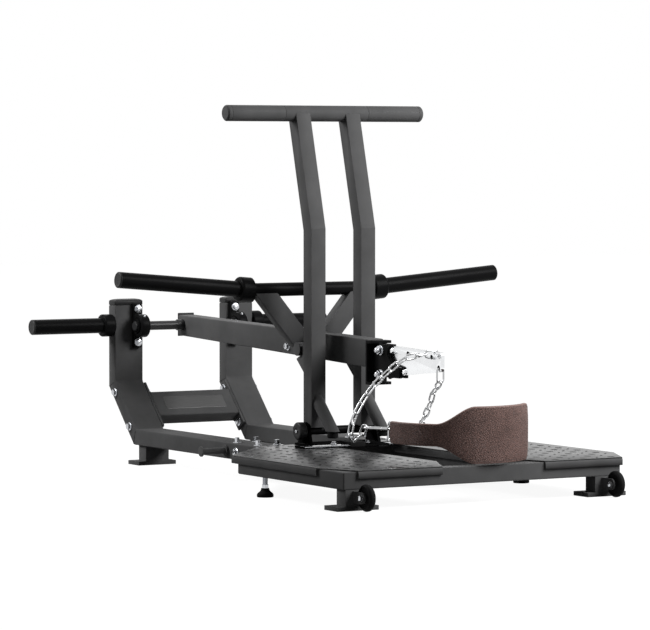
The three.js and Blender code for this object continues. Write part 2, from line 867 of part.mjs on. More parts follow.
function handleBar() {
  const inner = barRadius - gripWall
  const end = barLong / 2 - gripCapThick - clearance
  return turnedAcross([
    [-end, 0], [-end, inner], [-gripInner, inner], [-gripInner, barRadius], [gripInner, barRadius],
    [gripInner, inner], [end, inner], [end, 0],
  ], barPlace, barHigh)
}

// A grip sleeve with a closed, rounded end
function grip() {
  const half = barLong / 2
  const bore = barRadius - gripWall + clearance
  const start = -gripInner - clearance
  const bottom = -half + gripCapThick
  return turnedAcross([
    [start, bore], [start, barRadius], [-half + gripCapRound, barRadius], [-half, barRadius - gripCapRound],
    [-half, 0], [bottom, 0], [bottom, bore], [start, bore],
  ], barPlace, barHigh)
}

function pivotTube() {
  const end = earOuter + clearance
  return rodAcross(axisTubeRadius, -end, end, axisPlace, axisHigh)
}

function pivotDisc() {
  const face = -earOuter - clearance * 2
  const far = face - discThick
  return join(
    turnedAcross([
      [face, 0], [face, discRadius - discRound], [face - discRound, discRadius],
      [far + discRound, discRadius], [far, discRadius - discRound], [far, 0],
    ], axisPlace, axisHigh),
    rodAcross(boltHeadRadius / 2, far - washerThick, far + clearance, axisPlace, axisHigh, hexSides),
  )
}

// Stop tube: slants forward from the post and ends level over its bumper
function stopTube() {
  const top = new THREE.Vector3(-postMiddle, 0, stopTopHigh)
  const low = new THREE.Vector3(-postMiddle, -stopFootForward, stopFootHigh)
  const reach = top.distanceTo(low) + stopTubeRadius * 4
  const geometry = new THREE.CylinderGeometry(stopTubeRadius, stopTubeRadius, reach, roundSides)
  const turn = new THREE.Quaternion().setFromUnitVectors(
    new THREE.Vector3(0, 1, 0), top.clone().sub(low).normalize(),
  )
  geometry.applyQuaternion(turn)
  const middle = top.clone().add(low).divideScalar(2)
  geometry.translate(middle.x, middle.y, middle.z)
  const around = reach * 2
  const behind = box(-postMiddle - around, -postMiddle + around, -clearance, around, 0, around * 2)
  const below = box(-postMiddle - around, -postMiddle + around, -around, around, -around, stopFootHigh)
  return cut(solid(geometry), behind, below)
}

function bumper() {
  const top = stopFootHigh - clearance
  const low = top - bumperHigh
  return turnedUp([
    [low, 0], [low, bumperRadius - bumperRound], [low + bumperRound, bumperRadius], [top, bumperRadius],
    [top, 0],
  ], -postMiddle, -stopFootForward)
}

// Hook plate behind a post: its seat is an arc round the handle's own pivot, just under the catch pin
function hookPlate() {
  const toPin = Math.hypot(pinPlace - axisPlace, pinHigh - axisHigh)
  const seat = toPin - pinRadius - clearance
  const back = postDeep + clearance
  const throat = pinPlace - pinRadius - hookThroatGap
  const angleAt = (y) => Math.asin((y - axisPlace) / seat)
  const start = angleAt(throat)
  const end = THREE.MathUtils.degToRad(hookReachAngle)
  const tip = [axisPlace + seat * Math.sin(end), axisHigh + seat * Math.cos(end)]
  const shape = new THREE.Shape()
  shape.moveTo(back, hookFoot)
  shape.lineTo(tip[0], tip[1] - hookNose)
  shape.lineTo(tip[0], tip[1])
  shape.absarc(axisPlace, axisHigh, seat, Math.PI / 2 - end, Math.PI / 2 - start, false)
  shape.lineTo(throat, hookThroatHigh)
  shape.lineTo(back, hookThroatHigh + (throat - back))
  shape.closePath()
  const outer = -postOuter + hookInset
  return plateAcross(shape, outer, outer + hookThick)
}

// The top and the bottom of the tapering beam at a place along it
function beamTopAt(y) {
  return beamFrontTop + (beamRearTop - beamFrontTop) * (y - beamFront) / beamLength
}

function beamBottomAt(y) {
  return beamFrontBottom + (beamRearBottom - beamFrontBottom) * (y - beamFront) / beamLength
}

function leverArm() {
  const body = plateAcross([
    [beamFront, beamFrontBottom], [beamRear, beamRearBottom], [beamRear, beamRearTop],
    [beamFront, beamFrontTop],
  ], -halfBeam, halfBeam)
  const shaftHole = rodAcross(shaftMiddleRadius + clearance, -beamWide, beamWide, pivotPlace, pivotHigh)
  const pinHole = rodAcross(pinRadius + clearance, -beamWide, beamWide, pinPlace, pinHigh)
  const boltHigh = (beamTopAt(beamBoltPlace) + beamBottomAt(beamBoltPlace)) / 2 - beamBoltDrop
  return join(
    cut(body, shaftHole, pinHole),
    boltAcross(-halfBeam, beamBoltPlace, boltHigh, -1),
    boltAcross(halfBeam, beamBoltPlace, boltHigh, 1),
  )
}

function beamCap() {
  const face = beamRear + clearance
  const low = beamRearBottom - beamCapRim
  const top = beamRearTop + beamCapRim * 2
  return box(-halfBeam, halfBeam, face, face + beamCapThick, low, top)
}

function pivotShaft() {
  const end = shaftLong / 2
  const step = shaftMiddleLong / 2
  return turnedAcross([
    [-end, 0], [-end, shaftRadius], [-step, shaftRadius], [-step, shaftMiddleRadius],
    [step, shaftMiddleRadius], [step, shaftRadius], [end, shaftRadius], [end, 0],
  ], pivotPlace, pivotHigh)
}

function crossTube() {
  return rodAcross(crossTubeRadius, -crossTubeLong / 2, crossTubeLong / 2, crossTubePlace, crossTubeHigh)
}

// Strut from the side of the beam straight up and out to the cross tube, cut to fit both
function strut() {
  const top = new THREE.Vector3(-strutTopPlace, crossTubePlace, crossTubeHigh)
  const low = new THREE.Vector3(-strutFootPlace, crossTubePlace, strutFootHigh)
  const along = top.clone().sub(low).normalize()
  const front = new THREE.Vector3(0, -1, 0)
  front.addScaledVector(along, -front.dot(along)).normalize()
  const side = new THREE.Vector3().crossVectors(front, along)
  const reach = top.distanceTo(low) + strutWide * 4
  const geometry = new THREE.BoxGeometry(strutWide, strutDeep, reach)
  geometry.applyMatrix4(new THREE.Matrix4().makeBasis(side, front, along))
  const middle = top.clone().add(low).divideScalar(2)
  geometry.translate(middle.x, middle.y, middle.z)
  const wide = reach * 2
  const beamZone = box(-halfBeam - clearance, wide, -wide, wide, 0, wide)
  const above = box(-wide, wide, -wide, wide, crossTubeHigh - crossTubeRadius / 2, wide * 2)
  const below = box(-wide, wide, -wide, wide, -wide, strutEndHigh)
  const tube = rodAcross(crossTubeRadius + clearance, -wide, 0, crossTubePlace, crossTubeHigh)
  return cut(solid(geometry), beamZone, above, below, tube)
}

// Weight horn with its collar, tilted up and cut square where it meets the cross tube
function weightHorn() {
  const start = crossTubeLong / 2 + clearance
  const reach = (hornReach - start) / Math.cos(THREE.MathUtils.degToRad(hornTilt))
  const overrun = collarRadius
  const geometry = new THREE.LatheGeometry([
    [overrun, 0], [overrun, collarRadius], [-collarLong + collarRound, collarRadius],
    [-collarLong, collarRadius - collarRound], [-collarLong, hornRadius], [-reach, hornRadius], [-reach, 0],
  ].map(([x, r]) => new THREE.Vector2(r, x)), roundSides)
  geometry.rotateZ(-Math.PI / 2)
  geometry.applyMatrix4(hornFrame())
  const inside = box(-start, collarRadius * 4, crossTubePlace - collarRadius * 2,
    crossTubePlace + collarRadius * 2, crossTubeHigh - collarRadius * 3, crossTubeHigh + collarRadius * 3)
  return cut(outward(geometry), inside)
}

// The horn's own frame: its start on the cross tube, turned up by the tilt
function hornFrame() {
  const frame = new THREE.Matrix4().makeRotationY(THREE.MathUtils.degToRad(hornTilt))
  frame.setPosition(-crossTubeLong / 2 - clearance, crossTubePlace, crossTubeHigh)
  return frame
}

function hornCap() {
  const start = crossTubeLong / 2 + clearance
  const reach = (hornReach - start) / Math.cos(THREE.MathUtils.degToRad(hornTilt))
  const face = -reach - clearance
  const geometry = new THREE.LatheGeometry([
    [face, 0], [face, hornRadius], [face - hornCapThick + hornCapRound, hornRadius],
    [face - hornCapThick, hornRadius - hornCapRound], [face - hornCapThick, 0],
  ].map(([x, r]) => new THREE.Vector2(r, x)), roundSides)
  geometry.rotateZ(-Math.PI / 2)
  geometry.applyMatrix4(hornFrame())
  return outward(geometry)
}

function catchPin() {
  return rodAcross(pinRadius, -pinReach, pinReach, pinPlace, pinHigh)
}

// End bracket: a channel on the front of the beam, two gussets in it and the bolts through the tongue
function endBracket() {
  const rear = beamFront - clearance
  const half = bracketWide / 2
  const channel = plateAcross([
    [rear, bracketBottom], [rear, bracketTop], [bracketFront, bracketTop],
    [bracketFront, bracketTop - bracketWall], [webFront, bracketTop - bracketWall],
    [webFront, bracketBottom + bracketWall], [bracketFront, bracketBottom + bracketWall],
    [bracketFront, bracketBottom],
  ], -half, half)
  const top = bracketTop - bracketWall + clearance
  const low = bracketBottom + bracketWall + gussetDrop
  const inner = halfTongue + clearance
  const outer = inner + gussetThick
  const topFront = webFront - gussetTopReach
  const footFront = webFront - gussetFootReach
  const profile = [
    [webFront + clearance, low], [footFront, low], [footFront, low + gussetFootHigh],
    [topFront - gussetNotch, low + gussetFootHigh + gussetNotchRise],
    [topFront, top - gussetStepHigh], [topFront, top - clearance * 2],
    [bracketFront, top - clearance * 2], [bracketFront, top], [webFront + clearance, top],
  ]
  const bolts = [tongueBoltHigh, tongueBoltLow].map((high) => join(
    rodAcross(tongueBoltRadius, -outer - nutThick - studReach, outer + clearance, tongueBoltPlace, high, boltSides),
    rodAcross(washerRadius + washerThick, -outer - washerThick, -outer + clearance, tongueBoltPlace, high, boltSides),
    rodAcross(nutRadius, -outer - nutThick, -outer, tongueBoltPlace, high, hexSides),
    rodAcross(nutRadius, outer - clearance, outer + nutThick, tongueBoltPlace, high, hexSides),
  ))
  return join(channel, plateAcross(profile, -outer, -inner), plateAcross(profile, inner, outer), ...bolts)
}

// Tongue: a tapering plate with a row of holes for the chains
function tongueTopAt(y) {
  return tongueTopRear + (tongueTopFront - tongueTopRear) * (webFront - y) / (webFront - tongueTip)
}

function tongueBottomAt(y) {
  return tongueBottomRear + (tongueBottomFront - tongueBottomRear) * (webFront - y) / (webFront - tongueTip)
}

// Where the holes are: three along the top edge, then one at the tip's lower corner
function tongueHoles() {
  const rows = holePlaceShares.map((share) => {
    const y = webFront + (tongueTip - webFront) * share
    return [y, tongueTopAt(y) - holeTopDrop]
  })
  rows.push([holeFootPlace, tongueBottomAt(holeFootPlace) + holeFootRise])
  return rows
}

function tongue() {
  const rear = webFront - clearance
  const round = tongueTipRound
  const shape = new THREE.Shape()
  shape.moveTo(rear, tongueBottomAt(rear))
  shape.lineTo(rear, tongueTopAt(rear))
  shape.lineTo(tongueTip + round, tongueTopAt(tongueTip + round))
  shape.quadraticCurveTo(tongueTip, tongueTopFront, tongueTip, tongueTopFront - round)
  shape.lineTo(tongueTip, tongueBottomFront + round)
  shape.quadraticCurveTo(tongueTip, tongueBottomFront, tongueTip + round, tongueBottomAt(tongueTip + round))
  shape.closePath()
  const plate = plateAcross(shape, -halfTongue, halfTongue)
  const holes = tongueHoles().map(([y, z]) => rodAcross(tongueHoleRadius, -tongueThick, tongueThick, y, z, boltSides))
  const boltHoles = [tongueBoltHigh, tongueBoltLow].map((high) => rodAcross(
    tongueBoltRadius + clearance, -tongueThick, tongueThick, tongueBoltPlace, high, boltSides,
  ))
  const rivetPlaces = [gussetTopReach, gussetFootReach].map((reach) => webFront - reach - rivetAhead - rivetRadius)
  const rivets = [rivetTopHigh, rivetFootHigh].map((high, i) => [rivetPlaces[i], high]).map(([y, z]) => turnedAcross([
    [-halfTongue - rivetHigh, 0], [-halfTongue - rivetHigh, rivetRadius - rivetHigh / 2],
    [-halfTongue - rivetHigh / 2, rivetRadius], [halfTongue + rivetHigh / 2, rivetRadius],
    [halfTongue + rivetHigh, rivetRadius - rivetHigh / 2], [halfTongue + rivetHigh, 0],
  ], y, z, boltSides))
  return join(cut(plate, ...holes, ...boltHoles), ...rivets)
}

// A closed wire loop with round corners in its own XY plane; each corner has the same number of steps
class LoopCurve extends THREE.Curve {
  constructor(halfLong, halfWide, corner, steps) {
    super()
    const round = Math.min(corner, halfLong, halfWide)
    const long = halfLong - round
    const wide = halfWide - round
    this.points = []
    for (const [quarter, [x, y]] of [[long, wide], [-long, wide], [-long, -wide], [long, -wide]].entries()) {
      for (let i = 0; i <= steps; i += 1) {
        const angle = (quarter + i / steps) * Math.PI / 2
        const point = new THREE.Vector3(x + round * Math.cos(angle), y + round * Math.sin(angle), 0)
        const last = this.points[this.points.length - 1]
        if (!last || last.distanceTo(point) > round / steps / 2) this.points.push(point)
      }
    }
    if (this.points[0].distanceTo(this.points[this.points.length - 1]) < round / steps / 2) this.points.pop()
  }

  getPoint(t, target = new THREE.Vector3()) {
    const count = this.points.length
    const at = (t % 1) * count
    const first = Math.floor(at) % count
    return target.lerpVectors(this.points[first], this.points[(first + 1) % count], at - Math.floor(at))
  }

  getUtoTmapping(u) {
    return u
  }

  // The mean of the two sides that meet at a point, so that each ring of the tube halves its corner
  getTangent(t, target = new THREE.Vector3()) {
    const count = this.points.length
    const at = Math.round((t % 1) * count) % count
    const before = this.points[(at + count - 1) % count]
    const here = this.points[at]
    const after = this.points[(at + 1) % count]
    const arriving = here.clone().sub(before).normalize()
    return target.subVectors(after, here).normalize().add(arriving).normalize()
  }
}

// A loop whose ends bear on two points: it lies in the plane with this normal
function wireLoop(from, to, size, normal, extra = 0) {
  const along = to.clone().sub(from)
  const innerLong = along.length() + extra
  along.normalize()
  const up = normal.clone().addScaledVector(along, -normal.dot(along)).normalize()
  const across = new THREE.Vector3().crossVectors(up, along)
  const curve = new LoopCurve(innerLong / 2 + size.wire, size.innerWide / 2 + size.wire, size.corner, size.steps)
  const geometry = new THREE.TubeGeometry(curve, curve.points.length, size.wire, wireSides, true)
  geometry.applyMatrix4(new THREE.Matrix4().makeBasis(along, across, up))
  const middle = from.clone().add(to).divideScalar(2)
  geometry.translate(middle.x, middle.y, middle.z)
  return outward(geometry)
}

const linkSize = {
  wire: wireRadius, innerWide: linkInnerWide, corner: linkInnerWide, steps: linkCornerSteps,
}
const topLinkSize = {
  wire: wireRadius, innerWide: topLinkInnerWide, corner: topLinkInnerWide, steps: snapCornerSteps,
}
const snapSize = {
  wire: hookWireRadius, innerWide: snapInnerWide, corner: snapInnerWide, steps: snapCornerSteps,
}

function quarterTurn(along, normal) {
  return new THREE.Vector3().crossVectors(along, normal).normalize()
}

// The way of a chain from its top link to its snap hook. Its bends are shares of that straight distance:
// along it, out to the side that it bows to, and aside.
function chainCurve(top, end, bow, shares) {
  const run = end.clone().sub(top)
  const reach = run.length()
  const out = bow.clone().addScaledVector(run, -bow.dot(run) / run.lengthSq()).normalize()
  const aside = quarterTurn(run, out)
  const points = shares.map(([along, off, over]) => top.clone()
    .addScaledVector(run, along).addScaledVector(out, off * reach).addScaledVector(aside, over * reach))
  return new THREE.CatmullRomCurve3([top, ...points, end])
}

// A chain: its top link in the tongue, then an even number of links along the curve, each turned a
// quarter round against the one before and bearing on it. What is left over is shared out as a twist,
// so that the last link stands square to a snap hook that lies level.
function chain(topFrom, topTo, curve, snapEnd) {
  const count = 2 * Math.round(curve.getLength() / linkInnerLong / 2)
  const points = curve.getSpacedPoints(count)
  const runs = points.slice(1).map((point, i) => point.clone().sub(points[i]).normalize())
  const normals = []
  for (const run of runs) {
    normals.push(quarterTurn(run, normals[normals.length - 1] ?? new THREE.Vector3(0, 1, 0)))
  }
  const lastRun = runs[count - 1]
  const wanted = quarterTurn(snapEnd.clone().sub(points[count]), new THREE.Vector3(0, 0, 1))
  const first = normals[count - 1]
  let twist = Math.atan2(wanted.dot(quarterTurn(lastRun, first)), wanted.dot(first))
  if (Math.abs(twist) > Math.PI / 2) twist -= Math.sign(twist) * Math.PI
  const links = runs.map((run, i) => {
    normals[i].applyAxisAngle(run, twist * (i + 1) / count)
    return wireLoop(points[i], points[i + 1], linkSize, normals[i], -linkSink)
  })
  const topLink = wireLoop(topFrom, topTo, topLinkSize, new THREE.Vector3(0, 1, 0), -linkSink)
  return { body: join(topLink, ...links), lastRun }
}

// A snap hook lies level: one end goes round the ring's upright wire, and the other carries the chain's
// last link, which stands across it with its inner end on the hook's wire
function snapHook(chainEnd, chainRun, ringEnd, ringRun) {
  const up = new THREE.Vector3(0, 0, 1)
  const post = ringEnd.clone().addScaledVector(ringRun, ringWireRadius)
  const tilt = Math.abs(quarterTurn(chainEnd.clone().sub(post), up).dot(chainRun))
  const drop = (hookWireRadius + wireRadius * tilt) / Math.sqrt(1 - tilt ** 2) + wireGap + linkSink / 2
  const crown = chainEnd.clone().addScaledVector(chainRun, -drop)
  const along = crown.clone().sub(post).normalize()
  return wireLoop(
    post.clone().addScaledVector(along, -ringWireRadius - wireGap),
    crown.clone().addScaledVector(along, -hookWireRadius), snapSize, up,
  )
}

// Belt: a cross section at an angle round its centre, tall and thick over the back pad
function beltSection(angle) {
  const off = Math.abs(angle - padMiddleAngle)
  const share = THREE.MathUtils.smoothstep(off, padHalfAngle, padHalfAngle + taperAngle)
  const high = padHigh + (endHigh - padHigh) * share
  const thick = padThick + (endThick - padThick) * share
  const crown = beltCrown * (1 - share)
  const edge = thick * beltEdgeShare
  const radians = THREE.MathUtils.degToRad(angle)
  const section = [
    [thick / 2 - edge, -high / 2], [thick / 2, -high / 2 + edge * 2], [thick / 2 + crown, 0],
    [thick / 2, high / 2 - edge * 2], [thick / 2 - edge, high / 2], [-thick / 2 + edge, high / 2],
    [-thick / 2, high / 2 - edge * 2], [-thick / 2, -high / 2 + edge * 2], [-thick / 2 + edge, -high / 2],
  ]
  return section.map(([out, up]) => [
    beltMiddleX + (beltRadius + out) * Math.cos(radians),
    beltMiddleY + (beltRadius + out) * Math.sin(radians),
    beltLevel + up,
  ])
}

// The way the belt's middle line runs on at one of its ends; side is 1 or -1
function onwardAt(angle, side) {
  const radians = THREE.MathUtils.degToRad(angle)
  return new THREE.Vector3(-Math.sin(radians), Math.cos(radians), 0).multiplyScalar(side)
}

// A point straight on from one end of the belt's middle line
function beyondBelt(angle, side, distance) {
  const radians = THREE.MathUtils.degToRad(angle)
  return new THREE.Vector3(
    beltMiddleX + beltRadius * Math.cos(radians), beltMiddleY + beltRadius * Math.sin(radians), beltLevel,
  ).addScaledVector(onwardAt(angle, side), distance)
}

// A rectangular ring sewn into one end of the belt; grow makes the room for it
function endRing(angle, side, grow) {
  const inner = beyondBelt(angle, side, -ringInBelt)
  const outer = beyondBelt(angle, side, ringBeyondBelt)
  const sideways = quarterTurn(outer.clone().sub(inner), new THREE.Vector3(0, 0, 1))
  const size = {
    wire: ringWireRadius + grow, innerWide: ringInnerWide - grow * 2, corner: ringCorner, steps: snapCornerSteps,
  }
  return wireLoop(inner, outer, size, sideways, -grow * 2)
}

function belt() {
  const rings = []
  for (let i = 0; i <= beltSteps; i += 1) {
    rings.push(beltSection(beltLeftAngle + (beltRightAngle - beltLeftAngle) * i / beltSteps))
  }
  return cut(loft(rings), endRing(beltLeftAngle, -1, clearance), endRing(beltRightAngle, 1, clearance))
}

// The left chain is drawn to the side, so its top link lies level through the front hole of the top row.
// The right chain hangs, so its top link stands in the hole at the tongue's lower corner.
function sling() {
  const places = tongueHoles()
  const [frontHoleY] = places[holePlaceShares.length - 1]
  const level = tongueTopAt(frontHoleY) + wireGap - topLinkInnerWide / 2
  const leftTopFrom = new THREE.Vector3(halfTongue + topLinkInnerWide / 2 + wireGap, frontHoleY, level)
  const leftTopTo = leftTopFrom.clone().add(new THREE.Vector3(-topLinkInnerLong, 0, 0))
  const [footHoleY, footHoleZ] = places[holePlaceShares.length]
  const rightTopTo = new THREE.Vector3(0, footHoleY, footHoleZ - wireRadius - topLinkInnerLong)
  const rightTopFrom = new THREE.Vector3(0, footHoleY, footHoleZ - wireRadius - wireGap)
  const rise = new THREE.Vector3(0, 0, ringSnapRise)
  const leftRingEnd = beyondBelt(beltLeftAngle, -1, ringBeyondBelt).add(rise)
  const rightRingEnd = beyondBelt(beltRightAngle, 1, ringBeyondBelt).add(rise)
  const leftEnd = leftRingEnd.clone().add(new THREE.Vector3(...leftSnapRun))
  const rightEnd = rightRingEnd.clone().add(new THREE.Vector3(...rightSnapRun))
  const leftCurve = chainCurve(leftTopTo, leftEnd, new THREE.Vector3(-1, 0, 1), leftBowShares)
  const rightCurve = chainCurve(rightTopTo, rightEnd, new THREE.Vector3(-1, 1, -1), rightBowShares)
  const left = chain(leftTopFrom, leftTopTo, leftCurve, leftRingEnd)
  const right = chain(rightTopFrom, rightTopTo, rightCurve, rightRingEnd)
  place('left_chain', left.body, chrome())
  place('right_chain', right.body, chrome())
  const leftHook = snapHook(leftEnd, left.lastRun, leftRingEnd, onwardAt(beltLeftAngle, -1))
  const rightHook = snapHook(rightEnd, right.lastRun, rightRingEnd, onwardAt(beltRightAngle, 1))
  place('left_snap_hook', leftHook, chrome())
  place('right_snap_hook', rightHook, chrome())
  place('belt_left_ring', endRing(beltLeftAngle, -1, 0), chrome())
  place('belt_right_ring', endRing(beltRightAngle, 1, 0), chrome())
  place('belt', belt(), leather())
}

// Base
place('platform_frame', platformFrame(), darkPaint())
const leftLipRear = treadRear - treadRearCutLong
place('left_tread_plate', treadPlate(treadLeft, leftTreadWide, leftLipRear, true, false), treadPaint())
place('right_tread_plate', treadPlate(rightTreadLeft, rightTreadWide, -rearBeamDeep / 2, false, true), treadPaint())
const footMiddle = -halfPlatform + footInset
placePair('front_foot', foot(footMiddle, platformFront, frameFloorGap, true), darkPaint)
placePair('rear_foot', foot(-sideFrameMiddle, rearFootPlace - footPlateDeep / 2, baseTubeBottom, false), darkPaint)
placePair('wheel', wheel(footMiddle), blackRubber)
placePair('leveller', levellingFoot(-halfPlatform + levelInset), blackRubber)
placePair('side_frame', sideFrame(), darkPaint)
placePair('upright_cap', uprightCap(), blackPlastic)
place('rear_crossmember', rearCrossmember(), darkPaint())
placePair('band_peg', bandPeg(), darkPaint)
placePair('storage_horn', storageHorn(), blackPaint)
placePair('storage_cap', storageCap(), blackPlastic)
placePair('bearing', bearing(), blackPaint)
place('handle_base', handleBase(), darkPaint())
place('arm_stop_pad', restPad(), blackRubber())

// Handle
placePair('post', post(), darkPaint)
place('handle_bar', handleBar(), darkPaint())
placePair('grip', grip(), blackRubber)
place('handle_pivot_tube', pivotTube(), blackPaint())
placePair('pivot_disc', pivotDisc(), blackPlastic)
placePair('stop_strut', stopTube(), darkPaint)
placePair('bumper', bumper(), blackRubber)
placePair('hook_plate', hookPlate(), darkPaint)

// Arm
place('lever_arm', leverArm(), darkPaint())
place('arm_rear_cap', beamCap(), blackPlastic())
place('pivot_shaft', pivotShaft(), blackPaint())
place('cross_tube', crossTube(), blackPaint())
placePair('arm_strut', strut(), darkPaint)
placePair('weight_horn', weightHorn(), blackPaint)
placePair('horn_cap', hornCap(), blackPlastic)
place('catch_pin', catchPin(), blackPaint())
place('arm_end_bracket', endBracket(), blackPaint())
place('tongue', tongue(), chrome())
sling()

// The origin is under the middle of the whole
const frontMost = platformFront - wheelPlace - wheelRadius
const rearMost = uprightMiddle + storageCollarRadius
origin.position.y = -(frontMost + rearMost) / 2
machine.name = 'belt_squat_machine'

export default machine
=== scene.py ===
"""Looks of a plate loaded belt squat machine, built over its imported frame.

Pieces are in metres and in the frame's own axes: +X to the right, +Y to the rear, +Z up. Sizes typed in the
steps below are in millimetres, as in the solids, and the settings are in metres, as Blender shows them.
"""

import math

import bmesh
import bpy
from mathutils import Matrix, Quaternion, Vector


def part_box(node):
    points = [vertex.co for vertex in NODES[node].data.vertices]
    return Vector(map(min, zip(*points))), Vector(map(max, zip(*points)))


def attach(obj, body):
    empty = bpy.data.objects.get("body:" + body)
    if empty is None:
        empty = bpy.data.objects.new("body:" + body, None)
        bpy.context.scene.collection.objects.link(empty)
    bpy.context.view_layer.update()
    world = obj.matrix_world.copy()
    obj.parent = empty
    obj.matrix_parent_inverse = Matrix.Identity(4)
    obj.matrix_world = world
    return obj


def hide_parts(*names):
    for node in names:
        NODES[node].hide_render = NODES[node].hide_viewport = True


bl_info = {
    "name": "Belt Squat Machine Looks",
    "version": (1, 0, 0),
    "blender": (4, 5, 0),
    "location": "3D View > Sidebar > Belt Squat",
    "description": "Paints and details a belt squat machine over its packed frame",
    "category": "Object",
}

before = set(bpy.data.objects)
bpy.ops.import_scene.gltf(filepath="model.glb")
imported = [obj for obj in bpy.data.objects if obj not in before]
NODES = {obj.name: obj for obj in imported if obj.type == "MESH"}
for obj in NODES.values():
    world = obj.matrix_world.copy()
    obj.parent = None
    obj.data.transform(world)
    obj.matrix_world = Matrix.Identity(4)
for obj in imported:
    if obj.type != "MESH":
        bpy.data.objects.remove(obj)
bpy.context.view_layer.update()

MM = 0.001
POST_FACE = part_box("left_post")[0].y
SIDES = (("left", -1), ("right", 1))
ACROSS = Vector((1, 0, 0))
REARWARD = Vector((0, 1, 0))
UPWARD = Vector((0, 0, 1))
SMOOTH_ANGLE = 32


def at(x, y, z):
    """A point given in millimetres, with Y counted from the front face of the two handle posts."""
    return Vector((x * MM, y * MM + POST_FACE, z * MM))


def across(y, z, x):
    """Places an outline in (Y, Z), drawn along X."""
    return at(x, y, z)


def straight(points):
    return [at(*point) for point in points]


def middle_of(node):
    low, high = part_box(node)
    return (low + high) / 2


def outward(node, x, way):
    """A frame on the axis of a round part, at a distance from the machine's middle and facing outwards."""
    middle = middle_of(node)
    return frame_along(Vector((way * x * MM, middle.y, middle.z)), ACROSS * way)


# Sizes and colours that a user would change


def length(name, default, description):
    return bpy.props.FloatProperty(
        name=name, description=description, default=default, min=0, unit="LENGTH", subtype="DISTANCE",
    )


def colour(name, default, description):
    return bpy.props.FloatVectorProperty(
        name=name, description=description, default=default, size=3, min=0, max=1, subtype="COLOR",
    )


def share(name, default, description):
    return bpy.props.FloatProperty(
        name=name, description=description, default=default, min=0, max=1, subtype="FACTOR",
    )


def amount(name, default, description, least=0):
    return bpy.props.FloatProperty(name=name, description=description, default=default, min=least)


class FinishSettings(bpy.types.PropertyGroup):
    charcoal: colour("Charcoal paint", (0.094, 0.094, 0.095), "Powder coat of the frame, posts and arm")
    black: colour("Black paint", (0.0062, 0.0062, 0.0065), "Powder coat of the horns, bearings and bracket")
    tread: colour("Tread coating", (0.018, 0.018, 0.0185), "Glossy coat of the two foot plates")
    rubber: colour("Rubber", (0.013, 0.013, 0.0133), "Wheels, levelling feet and pads")
    plastic: colour("Plastic", (0.021, 0.021, 0.0215), "Caps and discs")
    zinc: colour("Zinc", (0.5, 0.51, 0.53), "Bolts, nuts, washers and studs")
    chrome: colour("Chrome", (0.8, 0.81, 0.82), "Tongue, chains, snap hooks and rings")
    leather: colour("Leather", (0.185, 0.11, 0.095), "Face of the belt")
    thread: colour("Thread", (0.075, 0.045, 0.04), "Stitches of the belt")
    plate: colour("Bare plate", (0.0725, 0.0725, 0.0725), "Satin plate on the rear crossmember")
    paint_gloss: share("Paint gloss", 0.55, "0 is matt and 1 is a mirror")


class TubeSettings(bpy.types.PropertyGroup):
    corner: length("Tube corner", 0.0045, "Radius of the long corners of the square tubes")
    plate_corner: length("Plate edge", 0.0012, "Rounding of cut plate edges")
    weld: length("Weld bead", 0.0014, "Half the width of a weld bead")


class TreadSettings(bpy.types.PropertyGroup):
    pitch: length("Pitch", 0.05, "From one raised lozenge to the next")
    long: length("Lozenge length", 0.024, "Length of one raised lozenge")
    wide: length("Lozenge width", 0.0075, "Width of one raised lozenge")
    high: length("Lozenge height", 0.001, "How far a lozenge stands up")
    margin: length("Margin", 0.015, "Plain strip along the plate's edges")


class BoltSettings(bpy.types.PropertyGroup):
    washer: length("Washer radius", 0.0133, "Radius of the washers under the hex heads")
    head: length("Head radius", 0.0103, "From a hex head's centre to its corner")
    chamfer: share("Chamfer", 0.8949, "Flat top of a hex head, as a share of its corner radius")


class SlingSettings(bpy.types.PropertyGroup):
    wire: length("Link wire", 0.0028, "Radius of the chain's wire")
    hook_wire: length("Hook wire", 0.0036, "Radius of the snap hook's wire")
    ring_wire: length("Ring wire", 0.0032, "Radius of the end ring's wire")


class BeltSettings(bpy.types.PropertyGroup):
    stitch: length("Stitch length", 0.0055, "Length of one stitch")
    stitch_gap: length("Stitch gap", 0.0035, "Gap from one stitch to the next")
    stitch_inset: length("Stitch inset", 0.008, "From the belt's edge to its row of stitches")
    grain: length("Grain", 0.0068, "Size of one pebble of the leather's grain")


class StageSettings(bpy.types.PropertyGroup):
    floor: length("Floor", 40, "Side of the square floor")
    lens: amount("Lens", 199.8, "Focal length in millimetres", 1)
    key: amount("Key light", 1.0, "Strength of the lamps")
    fill: amount("Fill light", 0.05, "Strength of the surroundings")


def settings():
    return bpy.context.scene.belt_squat


# Finishes


def node_tree(name):
    material = bpy.data.materials.new(name)
    material.use_nodes = True
    tree = material.node_tree
    return material, tree, tree.nodes["Principled BSDF"]


def add_node(tree, kind, *sources, **values):
    """A node fed by outputs in the order of its sockets; values name its sockets or else its own settings."""
    node = tree.nodes.new(kind)
    for source, socket in zip(sources, node.inputs):
        tree.links.new(source, socket)
    for key, value in values.items():
        socket = node.inputs.get(key.replace("_", " ").title())
        if socket:
            socket.default_value = value
        else:
            setattr(node, key, value)
    return node


def ramp(tree, factor, stops):
    """A colour ramp: stops are (position, colour or grey)."""
    node = tree.nodes.new("ShaderNodeValToRGB")
    for element, (position, value) in zip(node.color_ramp.elements, stops):
        element.position = position
        element.color = (*value, 1) if hasattr(value, "__len__") else (value, value, value, 1)
    tree.links.new(factor, node.inputs["Fac"])
    return node.outputs["Color"]


def noise(scale, detail=3.0, roughness=0.55):
    return "ShaderNodeTexNoise", "Fac", {"scale": scale, "detail": detail, "roughness": roughness}


def cells(scale):
    return "ShaderNodeTexVoronoi", "Distance", {"scale": scale}


